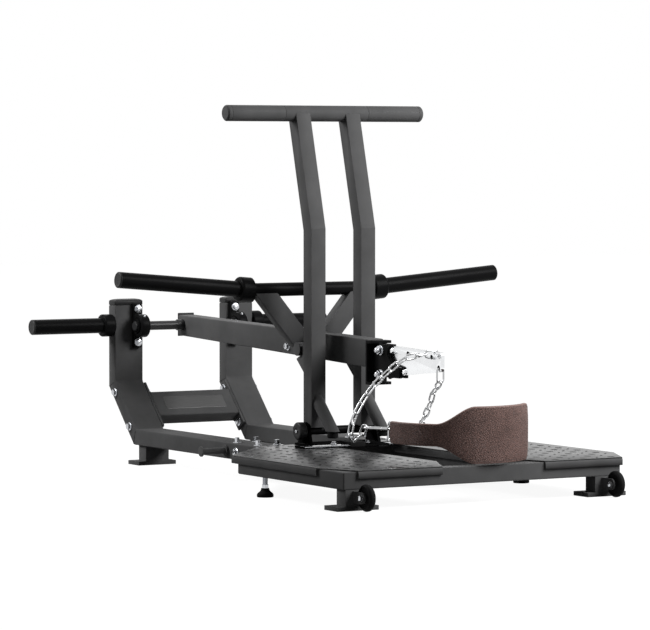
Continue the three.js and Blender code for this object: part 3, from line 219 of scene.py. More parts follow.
def twist(scale):
    return "ShaderNodeTexWave", "Fac", {"scale": scale, "distortion": 1.5, "detail": 2.0}


def textured(tree, where, pattern):
    """A noise, cells or twist, laid over the coordinates."""
    kind, output, values = pattern
    return add_node(tree, kind, where, **values).outputs[output]


def bump(tree, shader, height, strength, distance, before=None):
    node = add_node(tree, "ShaderNodeBump", strength=strength, distance=distance)
    tree.links.new(height, node.inputs["Height"])
    if before is not None:
        tree.links.new(before, node.inputs["Normal"])
    tree.links.new(node.outputs["Normal"], shader.inputs["Normal"])
    return node.outputs["Normal"]


def shades(base, spread):
    return tuple(c * (1 - spread) for c in base), tuple(min(1, c * (1 + spread)) for c in base)


def toned(base, factor):
    return tuple(c * factor for c in base)


def object_coordinates(tree):
    return tree.nodes.new("ShaderNodeTexCoord").outputs["Object"]


def stretched(tree, where, scale):
    return add_node(tree, "ShaderNodeMapping", where, scale=scale).outputs["Vector"]


def coat(name, base, spread, mottle, gloss, reliefs, tones=(0.3, 0.7), gloss_mottle=None,
         reflection=0.5, metallic=0.0, stretch=(1, 1, 1)):
    """A finish whose colour and gloss vary over a pattern, with reliefs from the finest up.

    The colour goes from `spread` darker to `spread` lighter between the two places in `tones`. `gloss`
    holds (place, roughness) and `reliefs` hold (pattern, strength, distance in metres).
    """
    material, tree, shader = node_tree(name)
    where = stretched(tree, object_coordinates(tree), stretch)
    tone = textured(tree, where, mottle)
    tree.links.new(ramp(tree, tone, list(zip(tones, shades(base, spread)))), shader.inputs["Base Color"])
    shine = textured(tree, where, gloss_mottle) if gloss_mottle else tone
    tree.links.new(ramp(tree, shine, gloss), shader.inputs["Roughness"])
    normal = None
    for pattern, strength, distance in reliefs:
        normal = bump(tree, shader, textured(tree, where, pattern), strength, distance, normal)
    shader.inputs["Specular IOR Level"].default_value = reflection
    shader.inputs["Metallic"].default_value = metallic
    return material


def powder_coat(name, base, roughness, reflection, orange_peel):
    """Sprayed and baked paint: fine orange peel, a slightly uneven colour and gloss, faint dusty patches."""
    return coat(
        name, base, 0.12, noise(9, 4), [(0.25, roughness * 0.86), (0.75, min(1, roughness * 1.16))],
        [(noise(620, 2), orange_peel, 0.0004), (noise(90, 2), orange_peel * 0.5, 0.0008)],
        gloss_mottle=noise(23, 6, 0.65), reflection=reflection,
    )


def charcoal_paint(look):
    return powder_coat("charcoal_powder_coat", look.charcoal, 1 - look.paint_gloss, 0.02, 0.18)


def black_paint(look):
    return powder_coat("black_powder_coat", look.black, 0.75 * (1 - look.paint_gloss), 0.025, 0.12)


def highlit_black_paint(look):
    """Black paint of the pin and the shaft, glossier, and lightened grey all over as a painted highlight."""
    return powder_coat("highlit_black_paint", toned(look.black, 4.5), 0.32, 0.2, 0.08)


def matt_black_paint(look):
    return powder_coat("matt_black_powder_coat", look.black, 0.6, 0.0, 0.12)


def tread_coating(look):
    """Glossy coat over rolled plate: it mirrors the room softly and is scuffed in patches all over."""
    return coat(
        "tread_coating", look.tread, 0.25, noise(14, 8, 0.7), [(0.3, 0.23), (0.75, 0.36)],
        [(noise(400, 3), 0.22, 0.0004), (noise(30, 2), 0.1, 0.002)], tones=(0.35, 0.7), reflection=0.38,
    )


def black_rubber(look):
    """Dusty moulded rubber."""
    return coat(
        "black_rubber", look.rubber, 0.2, noise(40, 6, 0.7), [(0.3, 0.55), (0.7, 0.72)],
        [(noise(900, 2), 0.25, 0.0003)], tones=(0.3, 0.75), reflection=0.03,
    )


def black_plastic(look):
    """Moulded plastic with a fine spark-eroded texture."""
    return coat(
        "black_plastic", look.plastic, 0.1, noise(25, 2), [(0.3, 0.38), (0.7, 0.5)],
        [(cells(1400.0), 0.12, 0.0002)], reflection=0.12,
    )


def zinc_steel(look):
    """Zinc plate: bright, a little cloudy, with fine turning marks."""
    return coat(
        "zinc_plate", look.zinc, 0.12, noise(160, 4), [(0.3, 0.14), (0.7, 0.27)],
        [(noise(1500, 2), 0.1, 0.0002)], metallic=1.0,
    )


def bright_chrome(look, name="bright_chrome", tone=1.0):
    """Chrome plate: nearly a mirror, with light handling marks."""
    return coat(
        name, toned(look.chrome, tone), 0.06, noise(70, 7, 0.7), [(0.35, 0.07), (0.75, 0.17)],
        [(noise(260, 2), 0.05, 0.0003)], metallic=1.0,
    )


def shaded_chain_chrome(look):
    """The chrome of the chains and hooks, toned darker as painted shade in its reflections."""
    return bright_chrome(look, "shaded_chain_chrome", 0.62)


def mixed(tree, kind, amount_of, first, second):
    node = add_node(tree, "ShaderNodeMixRGB", blend_type=kind, fac=amount_of)
    tree.links.new(first, node.inputs["Color1"])
    tree.links.new(second, node.inputs["Color2"])
    return node.outputs["Color"]


def brown_leather(look):
    """Pebbled leather: rounded grains with creases between them, darkened there as painted shade, rubbed lighter in
    places.
    """
    material, tree, shader = node_tree("pebbled_leather")
    where = object_coordinates(tree)
    worn = textured(tree, where, noise(11, 5, 0.6))
    face = ramp(tree, worn, list(zip((0.3, 0.72), shades(look.leather, 0.22))))
    warp = add_node(tree, "ShaderNodeTexNoise", where, scale=220.0, detail=2.0)
    lie = stretched(tree, mixed(tree, "ADD", 0.0016, where, warp.outputs["Color"]), (1, 1, 1.9))
    grains = add_node(
        tree, "ShaderNodeTexVoronoi", lie, scale=1 / settings().belt.grain, feature="DISTANCE_TO_EDGE",
    )
    crease_depth_and_shade = ramp(tree, grains.outputs["Distance"], [(0.0, 0.16), (0.2, 1.0)])
    # The creases darken the colour as painted shade; the same mask gives the grains their relief.
    tree.links.new(mixed(tree, "MULTIPLY", 0.85, face, crease_depth_and_shade), shader.inputs["Base Color"])
    tree.links.new(ramp(tree, worn, [(0.3, 0.62), (0.7, 0.48)]), shader.inputs["Roughness"])
    creased = bump(tree, shader, crease_depth_and_shade, 0.85, 0.0014)
    pored = bump(tree, shader, textured(tree, where, noise(1300, 3)), 0.3, 0.0002, creased)
    bump(tree, shader, textured(tree, where, noise(26, 3)), 0.25, 0.003, pored)
    shader.inputs["Specular IOR Level"].default_value = 0.2
    return material


def leather_edge(look):
    """Dyed and burnished edge, where the fibres still show."""
    fibres = noise(500, 6, 0.7)
    return coat(
        "burnished_edge", toned(look.leather, 0.9), 0.25, fibres, [(0.3, 0.5), (0.7, 0.68)],
        [(fibres, 0.3, 0.0004)],
    )


def belt_thread(look):
    """Waxed thread, twisted."""
    return coat(
        "waxed_thread", look.thread, 0.3, twist(900.0), [(0.0, 0.55), (1.0, 0.55)],
        [(twist(900.0), 0.3, 0.0003)], tones=(0.2, 0.8),
    )


def bare_plate(look):
    """Satin black plate with nothing printed on it."""
    streaks = noise(1, 4)
    return coat(
        "bare_satin_plate", look.plate, 0.1724, streaks, [(0.3, 0.3), (0.7, 0.42)],
        [(streaks, 0.08, 0.0003)], stretch=(30, 900, 900),
    )


FINISHES = {
    make.__name__: make for make in (
        charcoal_paint, black_paint, matt_black_paint, highlit_black_paint, tread_coating, black_rubber,
        black_plastic, zinc_steel, bright_chrome, shaded_chain_chrome, brown_leather, leather_edge, belt_thread, bare_plate,
    )
}
made_finishes = {}


def finish(name):
    if name not in made_finishes:
        made_finishes[name] = FINISHES[name](settings().finish)
    return made_finishes[name]


# Meshes


def new_piece(name, bm, body, finish_name, replaces=(), smooth_angle=SMOOTH_ANGLE, finishes=()):
    """Turns a bmesh into a piece that rides on a body. A face's material index picks from its finishes."""
    bmesh.ops.recalc_face_normals(bm, faces=bm.faces)
    for face in bm.faces:
        face.smooth = True
    mesh = bpy.data.meshes.new(name)
    bm.to_mesh(mesh)
    bm.free()
    if not mesh.polygons:
        raise RuntimeError(f"{name} has no faces")
    mesh.set_sharp_from_angle(angle=math.radians(smooth_angle))
    piece = bpy.data.objects.new(name, mesh)
    bpy.context.scene.collection.objects.link(piece)
    for part in (finish_name, *finishes):
        mesh.materials.append(finish(part))
    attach(piece, body)
    if replaces:
        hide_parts(*replaces)
    return piece


def dress(node, finish_name, radius=0, least_angle=40, steps=3):
    """A CAD node that stays: its own faces are merged, its edges eased, and it gets its finish."""
    piece = NODES[node]
    piece.data.materials.clear()
    piece.data.materials.append(finish(finish_name))
    weld = piece.modifiers.new("merge", "WELD")
    weld.merge_threshold = 0.01 * MM
    flat = piece.modifiers.new("flatten", "DECIMATE")
    flat.decimate_type = "DISSOLVE"
    flat.angle_limit = math.radians(1)
    if radius:
        ease = piece.modifiers.new("ease", "BEVEL")
        ease.limit_method = "ANGLE"
        ease.angle_limit = math.radians(least_angle)
        ease.width = radius
        ease.segments = steps
        ease.harden_normals = False
        ease.miter_outer = "MITER_ARC"
    piece.modifiers.new("smooth", "NODES").node_group = smooth_by_angle()


def smooth_by_angle():
    """Shades a CAD node smooth through a modifier, so that its own mesh stays as it is."""
    group = bpy.data.node_groups.get("smooth_by_angle")
    if group is None:
        group = bpy.data.node_groups.new("smooth_by_angle", "GeometryNodeTree")
        for way in ("INPUT", "OUTPUT"):
            group.interface.new_socket("Geometry", in_out=way, socket_type="NodeSocketGeometry")
        start, end, edge_angle, compare, faces, edges = (group.nodes.new(kind) for kind in (
            "NodeGroupInput", "NodeGroupOutput", "GeometryNodeInputMeshEdgeAngle", "FunctionNodeCompare",
            "GeometryNodeSetShadeSmooth", "GeometryNodeSetShadeSmooth",
        ))
        compare.operation = "LESS_EQUAL"
        compare.inputs[1].default_value = math.radians(SMOOTH_ANGLE)
        edges.domain = "EDGE"
        link = group.links.new
        link(start.outputs[0], faces.inputs["Geometry"])
        link(faces.outputs["Geometry"], edges.inputs["Geometry"])
        link(edge_angle.outputs["Unsigned Angle"], compare.inputs[0])
        link(compare.outputs[0], edges.inputs["Shade Smooth"])
        link(edges.outputs["Geometry"], end.inputs[0])
    return group


def bridge(bm, first, second):
    """Faces between two rings of equal count."""
    count = len(first)
    return [
        bm.faces.new((first[k], second[k], second[(k + 1) % count], first[(k + 1) % count])) for k in range(count)
    ]


def skin(bm, rings):
    """A closed body over rings of equal count, with a face on both ends."""
    for first, second in zip(rings, rings[1:]):
        bridge(bm, first, second)
    bm.faces.new(rings[0])
    bm.faces.new(rings[-1])


def prism(bm, points, start, end, place):
    """A closed body with one outline at both ends; place(a, b, along) gives a point in space."""
    rings = [[bm.verts.new(place(a, b, along)) for a, b in points] for along in (start, end)]
    faces = [bm.faces.new(rings[0]), bm.faces.new(rings[1][::-1]), *bridge(bm, *rings)]
    bmesh.ops.recalc_face_normals(bm, faces=faces)


def ease(bm, radius, least_angle=30, steps=3):
    """Rounds the edges that are sharper than an angle."""
    bm.edges.index_update()
    sharp = math.radians(least_angle)
    edges = [e for e in bm.edges if len(e.link_faces) == 2 and e.calc_face_angle() > sharp]
    bmesh.ops.bevel(
        bm, geom=edges, offset=radius, offset_type="OFFSET", segments=steps, profile=0.5,
        affect="EDGES", clamp_overlap=True,
    )


def eased_prism(bm, points, start, end, radius, least_angle=30, steps=3):
    """An eased prism along X, made on its own first so that its neighbours stay as they are."""
    own = bmesh.new()
    prism(own, points, start, end, across)
    ease(own, radius, least_angle, steps)
    add_to(bm, own)


def add_to(bm, own):
    """Adds one bmesh to another, frees it and returns its faces there."""
    mesh = bpy.data.meshes.new("passing")
    own.to_mesh(mesh)
    own.free()
    known = len(bm.faces)
    bm.from_mesh(mesh)
    bpy.data.meshes.remove(mesh)
    bm.faces.ensure_lookup_table()
    return bm.faces[known:]


def frame_along(origin, direction):
    """A matrix whose X axis is the direction."""
    turn = Vector(direction).to_track_quat("X", "Z").to_matrix().to_4x4()
    return Matrix.Translation(origin) @ turn


def curved(before, corner, after, t):
    """A point, or one of its values, on the parabola that rounds a corner."""
    return before * (1 - t) ** 2 + corner * 2 * t * (1 - t) + after * t ** 2


def filleted(profile, steps):
    """Rounds the corners of a profile: its points are (along, radius) or (along, radius, corner)."""
    made = []
    for i, point in enumerate(profile):
        corner = point[2] if len(point) > 2 else 0
        here = Vector(point[:2])
        if not corner or i in (0, len(profile) - 1):
            made.append(here)
            continue
        before = Vector(profile[i - 1][:2]) - here
        after = Vector(profile[i + 1][:2]) - here
        reach = min(corner, before.length * 0.49, after.length * 0.49)
        start = here + before.normalized() * reach
        end = here + after.normalized() * reach
        made += [curved(start, here, end, step / steps) for step in range(steps + 1)]
    return made


def mirrored(half):
    """A profile from its right half, whose points run inwards from the end."""
    return [*((-along, *rest) for along, *rest in half), *half[::-1]]


def circle(place, along, radius, count=40):
    """Points round a matrix's X axis."""
    return [
        place @ (Vector((along, radius * math.cos(a), radius * math.sin(a))) * MM)
        for a in (math.tau * k / count for k in range(count))
    ]


def turned(bm, profile, place, sides=56, steps=5):
    """A turned body: the profile's first value runs along the matrix's X axis, its second is the radius."""
    rings = [
        [bm.verts.new(point) for point in circle(place, along, radius, sides if radius else 1)]
        for along, radius in filleted(profile, steps)
    ]
    for first, second in zip(rings, rings[1:]):
        if len(first) > 1 and len(second) > 1:
            bridge(bm, first, second)
            continue
        tip, rim = (first, second) if len(first) == 1 else (second, first)
        for k in range(len(rim) if len(rim) > 1 else 0):
            bm.faces.new((tip[0], rim[k], rim[(k + 1) % sides]))
    if (rings[0][0].co - rings[-1][0].co).length < 1e-7:
        bmesh.ops.remove_doubles(bm, verts=rings[0] + rings[-1], dist=1e-7)


def turned_piece(name, profile, place, body, finish_name, replaces=(), sides=56):
    bm = bmesh.new()
    turned(bm, profile, place, sides)
    new_piece(name, bm, body, finish_name, replaces)


def rod(bm, start, end, radius, corner, sides=64):
    """A round rod between two points with eased ends."""
    run = end - start
    long = run.length / MM
    turned(bm, [(0, 0), (0, radius, corner), (long, radius, corner), (long, 0)], frame_along(start, run), sides)


HEX_POINTS = 36


def hex_head(bm, place, radius, high, start=0.0, socket=0.0):
    """A hex head or nut with a turned chamfer of 30 degrees, standing up along the matrix's X axis."""
    side, flat_share, slope = math.pi / 3, math.cos(math.pi / 6), math.tan(math.pi / 6)
    top_radius = radius * settings().bolt.chamfer
    rings = []
    for level in range(3):
        ring = []
        for k in range(HEX_POINTS):
            a = math.tau * k / HEX_POINTS
            flat_radius = radius * flat_share / math.cos((a + side / 2) % side - side / 2)
            drop = max(0, flat_radius - top_radius) * slope
            along, reach = (
                (start, flat_radius), (high - drop, flat_radius), (high, min(flat_radius, top_radius)),
            )[level]
            point = Vector((along, reach * math.cos(a), reach * math.sin(a)))
            ring.append(bm.verts.new(place @ (point * MM)))
        rings.append(ring)
    if socket:
        for along in (high, high / 2):
            rings.append([bm.verts.new(point) for point in circle(place, along, socket, HEX_POINTS)])
    skin(bm, rings)


def bolt(bm, origin, direction, washer_thick=2.5, high=8.3, head=None, washer=None):
    """A washer and a hex head on a face."""
    sizes = settings().bolt
    head = head or sizes.head / MM
    washer = washer or sizes.washer / MM
    place = frame_along(origin, direction)
    turned(bm, [
        (0, 0), (0, washer), (washer_thick, washer, 0.7), (washer_thick, head * 0.7), (washer_thick, 0),
    ], place, 40, 3)
    hex_head(bm, place, head, washer_thick + high, washer_thick)


def swept(bm, path, radius, sides=14, closed=True):
    """A round wire along a path of points, its radius in metres."""
    count = len(path)
    rings = []
    side = None
    for i, point in enumerate(path):
        before = path[i - 1] if closed or i else point
        after = path[(i + 1) % count] if closed or i + 1 < count else point
        run = (after - before).normalized()
        if side is None:
            side = run.orthogonal()
        side = (side - run * side.dot(run)).normalized()
        over = run.cross(side)
        rings.append([
            bm.verts.new(point + (side * math.cos(a) + over * math.sin(a)) * radius)
            for a in (math.tau * k / sides for k in range(sides))
        ])
    for first, second in zip(rings, rings[1:]):
        bridge(bm, first, second)
    if closed:
        ends = path[0] - path[-1]
        gaps = [(vert.co - (rings[-1][0].co + ends)).length for vert in rings[0]]
        shift = gaps.index(min(gaps))
        bridge(bm, rings[-1], rings[0][shift:] + rings[0][:shift])
    else:
        bm.faces.new(rings[0])
        bm.faces.new(rings[-1])


def loop_path(start, end, wire, inner_wide, corner, normal, extra, steps):
    """The middle line of a closed wire loop whose two ends bear on two points."""
    along = end - start
    half_long = (along.length + extra) / 2 + wire
    along.normalize()
    over = (normal - along * normal.dot(along)).normalized().cross(along)
    half_wide = inner_wide / 2 + wire
    bend = min(corner, half_long, half_wide)
    least = bend / steps / 2
    middle = (start + end) / 2
    path = []
    for quarter, (a, b) in enumerate(((1, 1), (-1, 1), (-1, -1), (1, -1))):
        for step in range(steps + 1):
            angle = (quarter + step / steps) * math.pi / 2
            x = a * (half_long - bend) + bend * math.cos(angle)
            y = b * (half_wide - bend) + bend * math.sin(angle)
            point = middle + along * x + over * y
            if not path or (path[-1] - point).length > least:
                path.append(point)
    if (path[0] - path[-1]).length < least:
        path.pop()
    return path


# Sides of a weld bead, then in shares of its radius the steps along it and how far it stops before a corner
BEAD_SIDES, BEAD_STEP, BEAD_STOP = 8, 0.45, 3
# Height of each of its ripples as a share of its radius, and how fast they follow one another
BEAD_RIPPLES = ((0.13, 1.4), (0.05, 0.37))


def bead(bm, path, closed=False):
    """A weld bead: a ridged fillet along a path."""
    radius, sides = settings().tube.weld, BEAD_SIDES
    if not closed:
        stop = BEAD_STOP * radius
        first, last = path[1] - path[0], path[-2] - path[-1]
        path = [path[0] + first.normalized() * stop, *path[1:-1], path[-1] + last.normalized() * stop]
    fine = []
    for start, end in zip(path, path[1:] + path[:1] if closed else path[1:]):
        parts = max(1, round((end - start).length / (radius * BEAD_STEP)))
        fine += [start.lerp(end, k / parts) for k in range(parts)]
    if not closed:
        fine.append(path[-1])
    before = len(bm.verts)
    swept(bm, fine, radius, sides, closed)
    bm.verts.ensure_lookup_table()
    for i, point in enumerate(fine):
        swell = 1 + sum(high * math.sin(i * pace) for high, pace in BEAD_RIPPLES)
        for vert in bm.verts[before + i * sides:before + (i + 1) * sides]:
            vert.co = point + (vert.co - point) * swell


def rounded_rectangle(bm, xs, ys, z, corner, steps=5):
    corner = min(corner, (xs[1] - xs[0]) * 0.49, (ys[1] - ys[0]) * 0.49)
    low, high = (xs[0] + corner, ys[0] + corner), (xs[1] - corner, ys[1] - corner)
    ring = []
    for quarter, (x, y) in enumerate((high, (low[0], high[1]), low, (high[0], low[1]))):
        for step in range(steps + 1):
            a = (quarter + step / steps) * math.pi / 2
            ring.append(bm.verts.new((x + corner * math.cos(a), y + corner * math.sin(a), z)))
    return ring


# Platform


class FinishPlatform(bpy.types.Operator):
    """Paints the platform's tube frame, eases its corners and runs weld beads along its joints."""

    bl_idname = "belt_squat.platform"
    bl_label = "Platform frame"

    tube_wide = 50
    rail_sides = (-115, -165, 166, 216)
    bead_end = 4

    def execute(self, context):
        dress("platform_frame", "charcoal_paint", settings().tube.corner)
        low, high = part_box("platform_frame")
        front, end = low.y + self.tube_wide * MM, self.bead_end * MM
        bm = bmesh.new()
        for x in self.rail_sides:
            bead(bm, [Vector((x * MM, front, low.z + end)), Vector((x * MM, front, high.z - end))])
        new_piece("platform_welds", bm, "base", "charcoal_paint")
        return {"FINISHED"}


def lozenge(bm, centre, angle, long, wide, high):
    """One raised lozenge of rolled tread plate: pointed ends and a rounded top."""
    turn = Matrix.Rotation(angle, 3, "Z")
    around, point_sharpness = 12, 1.35
    rings = []
    for reach, rise in ((1.0, 0.0), (0.86, 0.62), (0.55, 1.0)):
        ring = []
        for k in range(around):
            a = math.tau * k / around
            y = math.copysign(abs(math.sin(a)) ** point_sharpness, math.sin(a))
            point = Vector((math.cos(a) * long / 2 * reach, y * wide / 2 * reach, 0))
            ring.append(bm.verts.new(centre + turn @ point + UPWARD * rise * high))
        rings.append(ring)
    for first, second in zip(rings, rings[1:]):
        bridge(bm, first, second)
    bm.faces.new(rings[-1])


def inside(point, corners, margin):
    """Whether a point lies within a convex outline, a margin away from its sides."""
    for a, b in zip(corners, corners[1:] + corners[:1]):
        run = (Vector(b) - Vector(a)).normalized()
        if run.cross(Vector(point) - Vector(a)) < margin:
            return False
    return True


class BuildTreads(bpy.types.Operator):
    """Coats the two foot plates and raises the lozenges of rolled tread plate on them."""

    bl_idname = "belt_squat.treads"
    bl_label = "Tread plates"

    # How far each cut corner runs along X and along Y
    front_cut = (51, 148)
    slot_cut = (78, 155)
    rear_cut = (232, 248)
    right_lip_rear = -50
    lozenge_sunk = 0.1
    lip_over = 0.4
    # Outlines of the folded rim and of the sheet's edge, painted dark as shade over the rim, from the plate's top
    # edge
    rim = ((4.2, -24), (0, -24.3), (-2.2, -23), (-2.2, -9.1), (-1.54, -6.1), (-0.2, -3.6), (4.2, -3.6))
    shaded_sheet_edge = ((1, -3.6), (-0.3, -3.6), (-0.3, -0.6), (1, -0.2))

    def execute(self, context):
        for side, _ in SIDES:
            node = f"{side}_tread_plate"
            dress(node, "tread_coating", settings().tube.plate_corner, 50)
            low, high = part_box(node)
            self.lozenges(side, low, high)
            self.lips(side, low, high)
        return {"FINISHED"}

    def outline(self, side, low, high):
        front, slot, rear = (Vector(cut) * MM for cut in (self.front_cut, self.slot_cut, self.rear_cut))
        corners = [
            (low.x, low.y + front.y), (low.x + front.x, low.y), (high.x - slot.x, low.y), (high.x, low.y + slot.y),
        ]
        if side == "left":
            return corners + [(high.x, high.y), (low.x + rear.x, high.y), (low.x, high.y - rear.y)]
        return corners + [(high.x, high.y - rear.y), (high.x - rear.x, high.y), (low.x, high.y)]

    def lozenges(self, side, low, high):
        tread = settings().tread
        corners = self.outline(side, low, high)
        bm = bmesh.new()
        columns = int((high.x - low.x) / tread.pitch)
        rows = int((high.y - low.y) / tread.pitch)
        spare = ((high.x - low.x) - columns * tread.pitch) / 2
        for row in range(rows + 1):
            for column in range(columns + 1):
                x = low.x + spare + column * tread.pitch
                y = low.y + tread.pitch * (row + 0.5)
                if inside((x, y), corners, tread.margin):
                    centre = Vector((x, y, high.z - self.lozenge_sunk * MM))
                    angle = math.radians(45 if (row + column) % 2 else -45)
                    lozenge(bm, centre, angle, tread.long, tread.wide, tread.high)
        new_piece(f"{side}_tread_lozenges", bm, "base", "black_paint", smooth_angle=60)

    def lips(self, side, low, high):
        """The folded rim: a rounded flange just below the sheet, and the sheet's edge over it in black, as painted
        shade.
        """
        over = self.lip_over * MM
        front_run = (low.x + self.front_cut[0] * MM - over, high.x - self.slot_cut[0] * MM + over)
        lip_rear = high.y - self.rear_cut[1] * MM if side == "left" else at(0, self.right_lip_rear, 0).y
        side_run = (low.y + self.front_cut[1] * MM - over, lip_rear + over)
        # The sheet's edge takes the black finish: painted shade in the step over the rim.
        for name, outline, paint in (
            ("rim", self.rim, "charcoal_paint"), ("shaded_sheet_edge", self.shaded_sheet_edge, "black_plastic"),
        ):
            bm = bmesh.new()
            prism(bm, outline, *front_run, lambda a, z, x: Vector((x, low.y + a * MM, high.z + z * MM)))
            prism(bm, outline, *side_run, lambda a, z, y: Vector((low.x + a * MM, y, high.z + z * MM)))
            new_piece(f"{side}_tread_{name}", bm, "base", paint, smooth_angle=60)


class BuildFeet(bpy.types.Operator):
    """Feet, transport wheels and levelling feet."""

    bl_idname = "belt_squat.feet"
    bl_label = "Feet and wheels"

    wheel_half, hub, bore = 10, 14, 6.5
    axle_half = 19
    pad = (
        (0, 0), (0, 23.5), (1.5, 25, 1), (8, 25, 2), (12, 22.5, 3), (19, 13.5, 4), (27, 11.8, 1.2), (27, 0),
    )
    nut_foot, nut_radius, nut_high = 26.8, 11, 10.2
    stud_foot, stud_radius = 36.5, 8

    def execute(self, context):
        for side, _ in SIDES:
            for foot in ("front", "rear"):
                dress(f"{side}_{foot}_foot", "charcoal_paint", settings().tube.plate_corner, 50, 2)
            self.wheel(side)
            self.leveller(side)
            self.axle(side)
        return {"FINISHED"}

    def wheel(self, side):
        low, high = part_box(f"{side}_wheel")
        middle = (low + high) / 2
        radius, half, hub = (high.z - low.z) / 2 / MM, self.wheel_half, self.hub
        tyre = mirrored([
            (half + 2, self.bore), (half + 2, hub, 1), (half - 3.5, hub + 1, 1), (half - 3.5, radius - 9, 1.5),
            (half, radius - 7.5, 1), (half, radius - 5.5), (half * 0.55, radius, 6),
        ])
        turned_piece(
            f"{side}_wheel_tyre", tyre + tyre[:1], Matrix.Translation(middle), f"{side}_wheel", "black_rubber",
            [f"{side}_wheel"], 72,
        )

    def axle(self, side):
        middle = middle_of(f"{side}_wheel")
        bm = bmesh.new()
        for way in (-1, 1):
            bolt(bm, middle + ACROSS * way * self.axle_half * MM, ACROSS * way, 0.8, 5.4, 7.8, 9)
        new_piece(f"{side}_axle_bolts", bm, "base", "zinc_steel")

    def leveller(self, side):
        node = f"{side}_leveller"
        top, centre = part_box(node)[1].z, middle_of(node)
        centre.z = 0
        turned_piece(
            f"{node}_pad", self.pad, frame_along(centre, UPWARD), node, "black_rubber", [node],
        )
        bm = bmesh.new()
        hex_head(bm, frame_along(centre + UPWARD * self.nut_foot * MM, UPWARD), self.nut_radius, self.nut_high)
        self.thread(bm, centre + UPWARD * self.stud_foot * MM, top / MM - self.stud_foot, self.stud_radius)
        new_piece(f"{node}_stud", bm, node, "zinc_steel")

    def thread(self, bm, foot, long, radius, pitch=1.5):
        """A threaded stud: its ridges stand as closely as the real thread's."""
        root = radius * 0.9
        profile = [(0, 0), (0, root)]
        for k in range(int(long / pitch)):
            profile += [((k + 0.3) * pitch, radius), ((k + 0.8) * pitch, root)]
        profile += [(long, radius * 0.85), (long, 0)]
        turned(bm, profile, frame_along(foot, UPWARD), 28)


# Side frames and what they carry

SLANT = math.radians(44)
TUBE_THICK, TUBE_WIDE = 47, 104
BASE_LOW, BASE_HIGH, BASE_FRONT, SLANT_FOOT = 63, 114, 88.3, 908
UPRIGHT_FRONT, UPRIGHT_REAR, UPRIGHT_HIGH = 1037, 1084, 516
SIDE_INNER, SIDE_OUTER = 157, 261
CROSSMEMBER_HIGH = 175
CROSSMEMBER_HALF, FLANGE_THICK, FLANGE_LONG = 156.7, 8, 186
FLANGE_BOLTS = (-74, 74)
FACE_GAP = 0.3


def slant_point(distance):
    """A point on the middle line of the slanted stretch, counted up from the crossmember's middle."""
    z = CROSSMEMBER_HIGH + distance * math.cos(SLANT)
    return SLANT_FOOT - TUBE_THICK / math.cos(SLANT) / 2 + (z - BASE_LOW) * math.tan(SLANT), z


def slanted_rectangle(long, thick):
    y, z = slant_point(0)
    sine, cosine = math.sin(SLANT), math.cos(SLANT)
    return [
        (y + a * sine * long / 2 + b * cosine * thick / 2, z + a * cosine * long / 2 - b * sine * thick / 2)
        for a, b in ((-1, -1), (1, -1), (1, 1), (-1, 1))
    ]


class BuildSideFrames(bpy.types.Operator):
    """Side frames of wide tube with their bolts, caps and the beads at their mitres."""

    bl_idname = "belt_squat.side_frames"
    bl_label = "Side frames"

    platform_bolt = (213, 88.5)
    beam_bolts = ((238, 118), (170, 118), (238, 250), (170, 250))
    # Rise, inset and corner radius of each ring of the moulded cap
    cap_rings = (
        (0, 0.3, 4), (0.5, 0, 4), (11.5, 0, 4), (13.8, 0.7, 4), (16, 2.6, 5), (17.8, 6.5, 6), (19.2, 12.5, 7),
        (20, 19.5, 7),
    )

    def execute(self, context):
        run = TUBE_THICK / math.cos(SLANT)
        rear_bend = BASE_LOW + (UPRIGHT_REAR - SLANT_FOOT) / math.tan(SLANT)
        front_bend = BASE_LOW + (UPRIGHT_FRONT - SLANT_FOOT + run) / math.tan(SLANT)
        base_bend = SLANT_FOOT - run + (BASE_HIGH - BASE_LOW) * math.tan(SLANT)
        outline = [
            (BASE_FRONT, BASE_LOW), (SLANT_FOOT, BASE_LOW), (UPRIGHT_REAR, rear_bend), (UPRIGHT_REAR, UPRIGHT_HIGH),
            (UPRIGHT_FRONT, UPRIGHT_HIGH), (UPRIGHT_FRONT, front_bend), (base_bend, BASE_HIGH),
            (BASE_FRONT, BASE_HIGH),
        ]
        for side, way in SIDES:
            inner, outer = SIDE_INNER * way, SIDE_OUTER * way
            bm = bmesh.new()
            eased_prism(bm, outline, inner, outer, settings().tube.corner)
            for x in (inner, outer):
                bead(bm, straight([(x, UPRIGHT_FRONT, front_bend), (x, UPRIGHT_REAR, rear_bend)]))
                bead(bm, straight([(x, base_bend, BASE_HIGH), (x, SLANT_FOOT, BASE_LOW)]))
            new_piece(f"{side}_side_tube", bm, "base", "charcoal_paint", [f"{side}_side_frame"])
            bm = bmesh.new()
            for y, z in (*map(slant_point, FLANGE_BOLTS), self.platform_bolt):
                bolt(bm, at(outer, y, z), ACROSS * way)
            for x, y in self.beam_bolts:
                bolt(bm, at(x * way, y, BASE_HIGH), UPWARD, high=13.8, head=8.3)
            new_piece(f"{side}_side_bolts", bm, "base", "zinc_steel")
            self.cap(side)
        return {"FINISHED"}

    def cap(self, side):
        low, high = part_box(f"{side}_upright_cap")
        bm = bmesh.new()
        skin(bm, [
            rounded_rectangle(
                bm, (low.x + inset * MM, high.x - inset * MM), (low.y + inset * MM, high.y - inset * MM),
                low.z + rise * MM, corner * MM,
            )
            for rise, inset, corner in self.cap_rings
        ])
        new_piece(f"{side}_upright_plug", bm, "base", "black_plastic", [f"{side}_upright_cap"], 40)


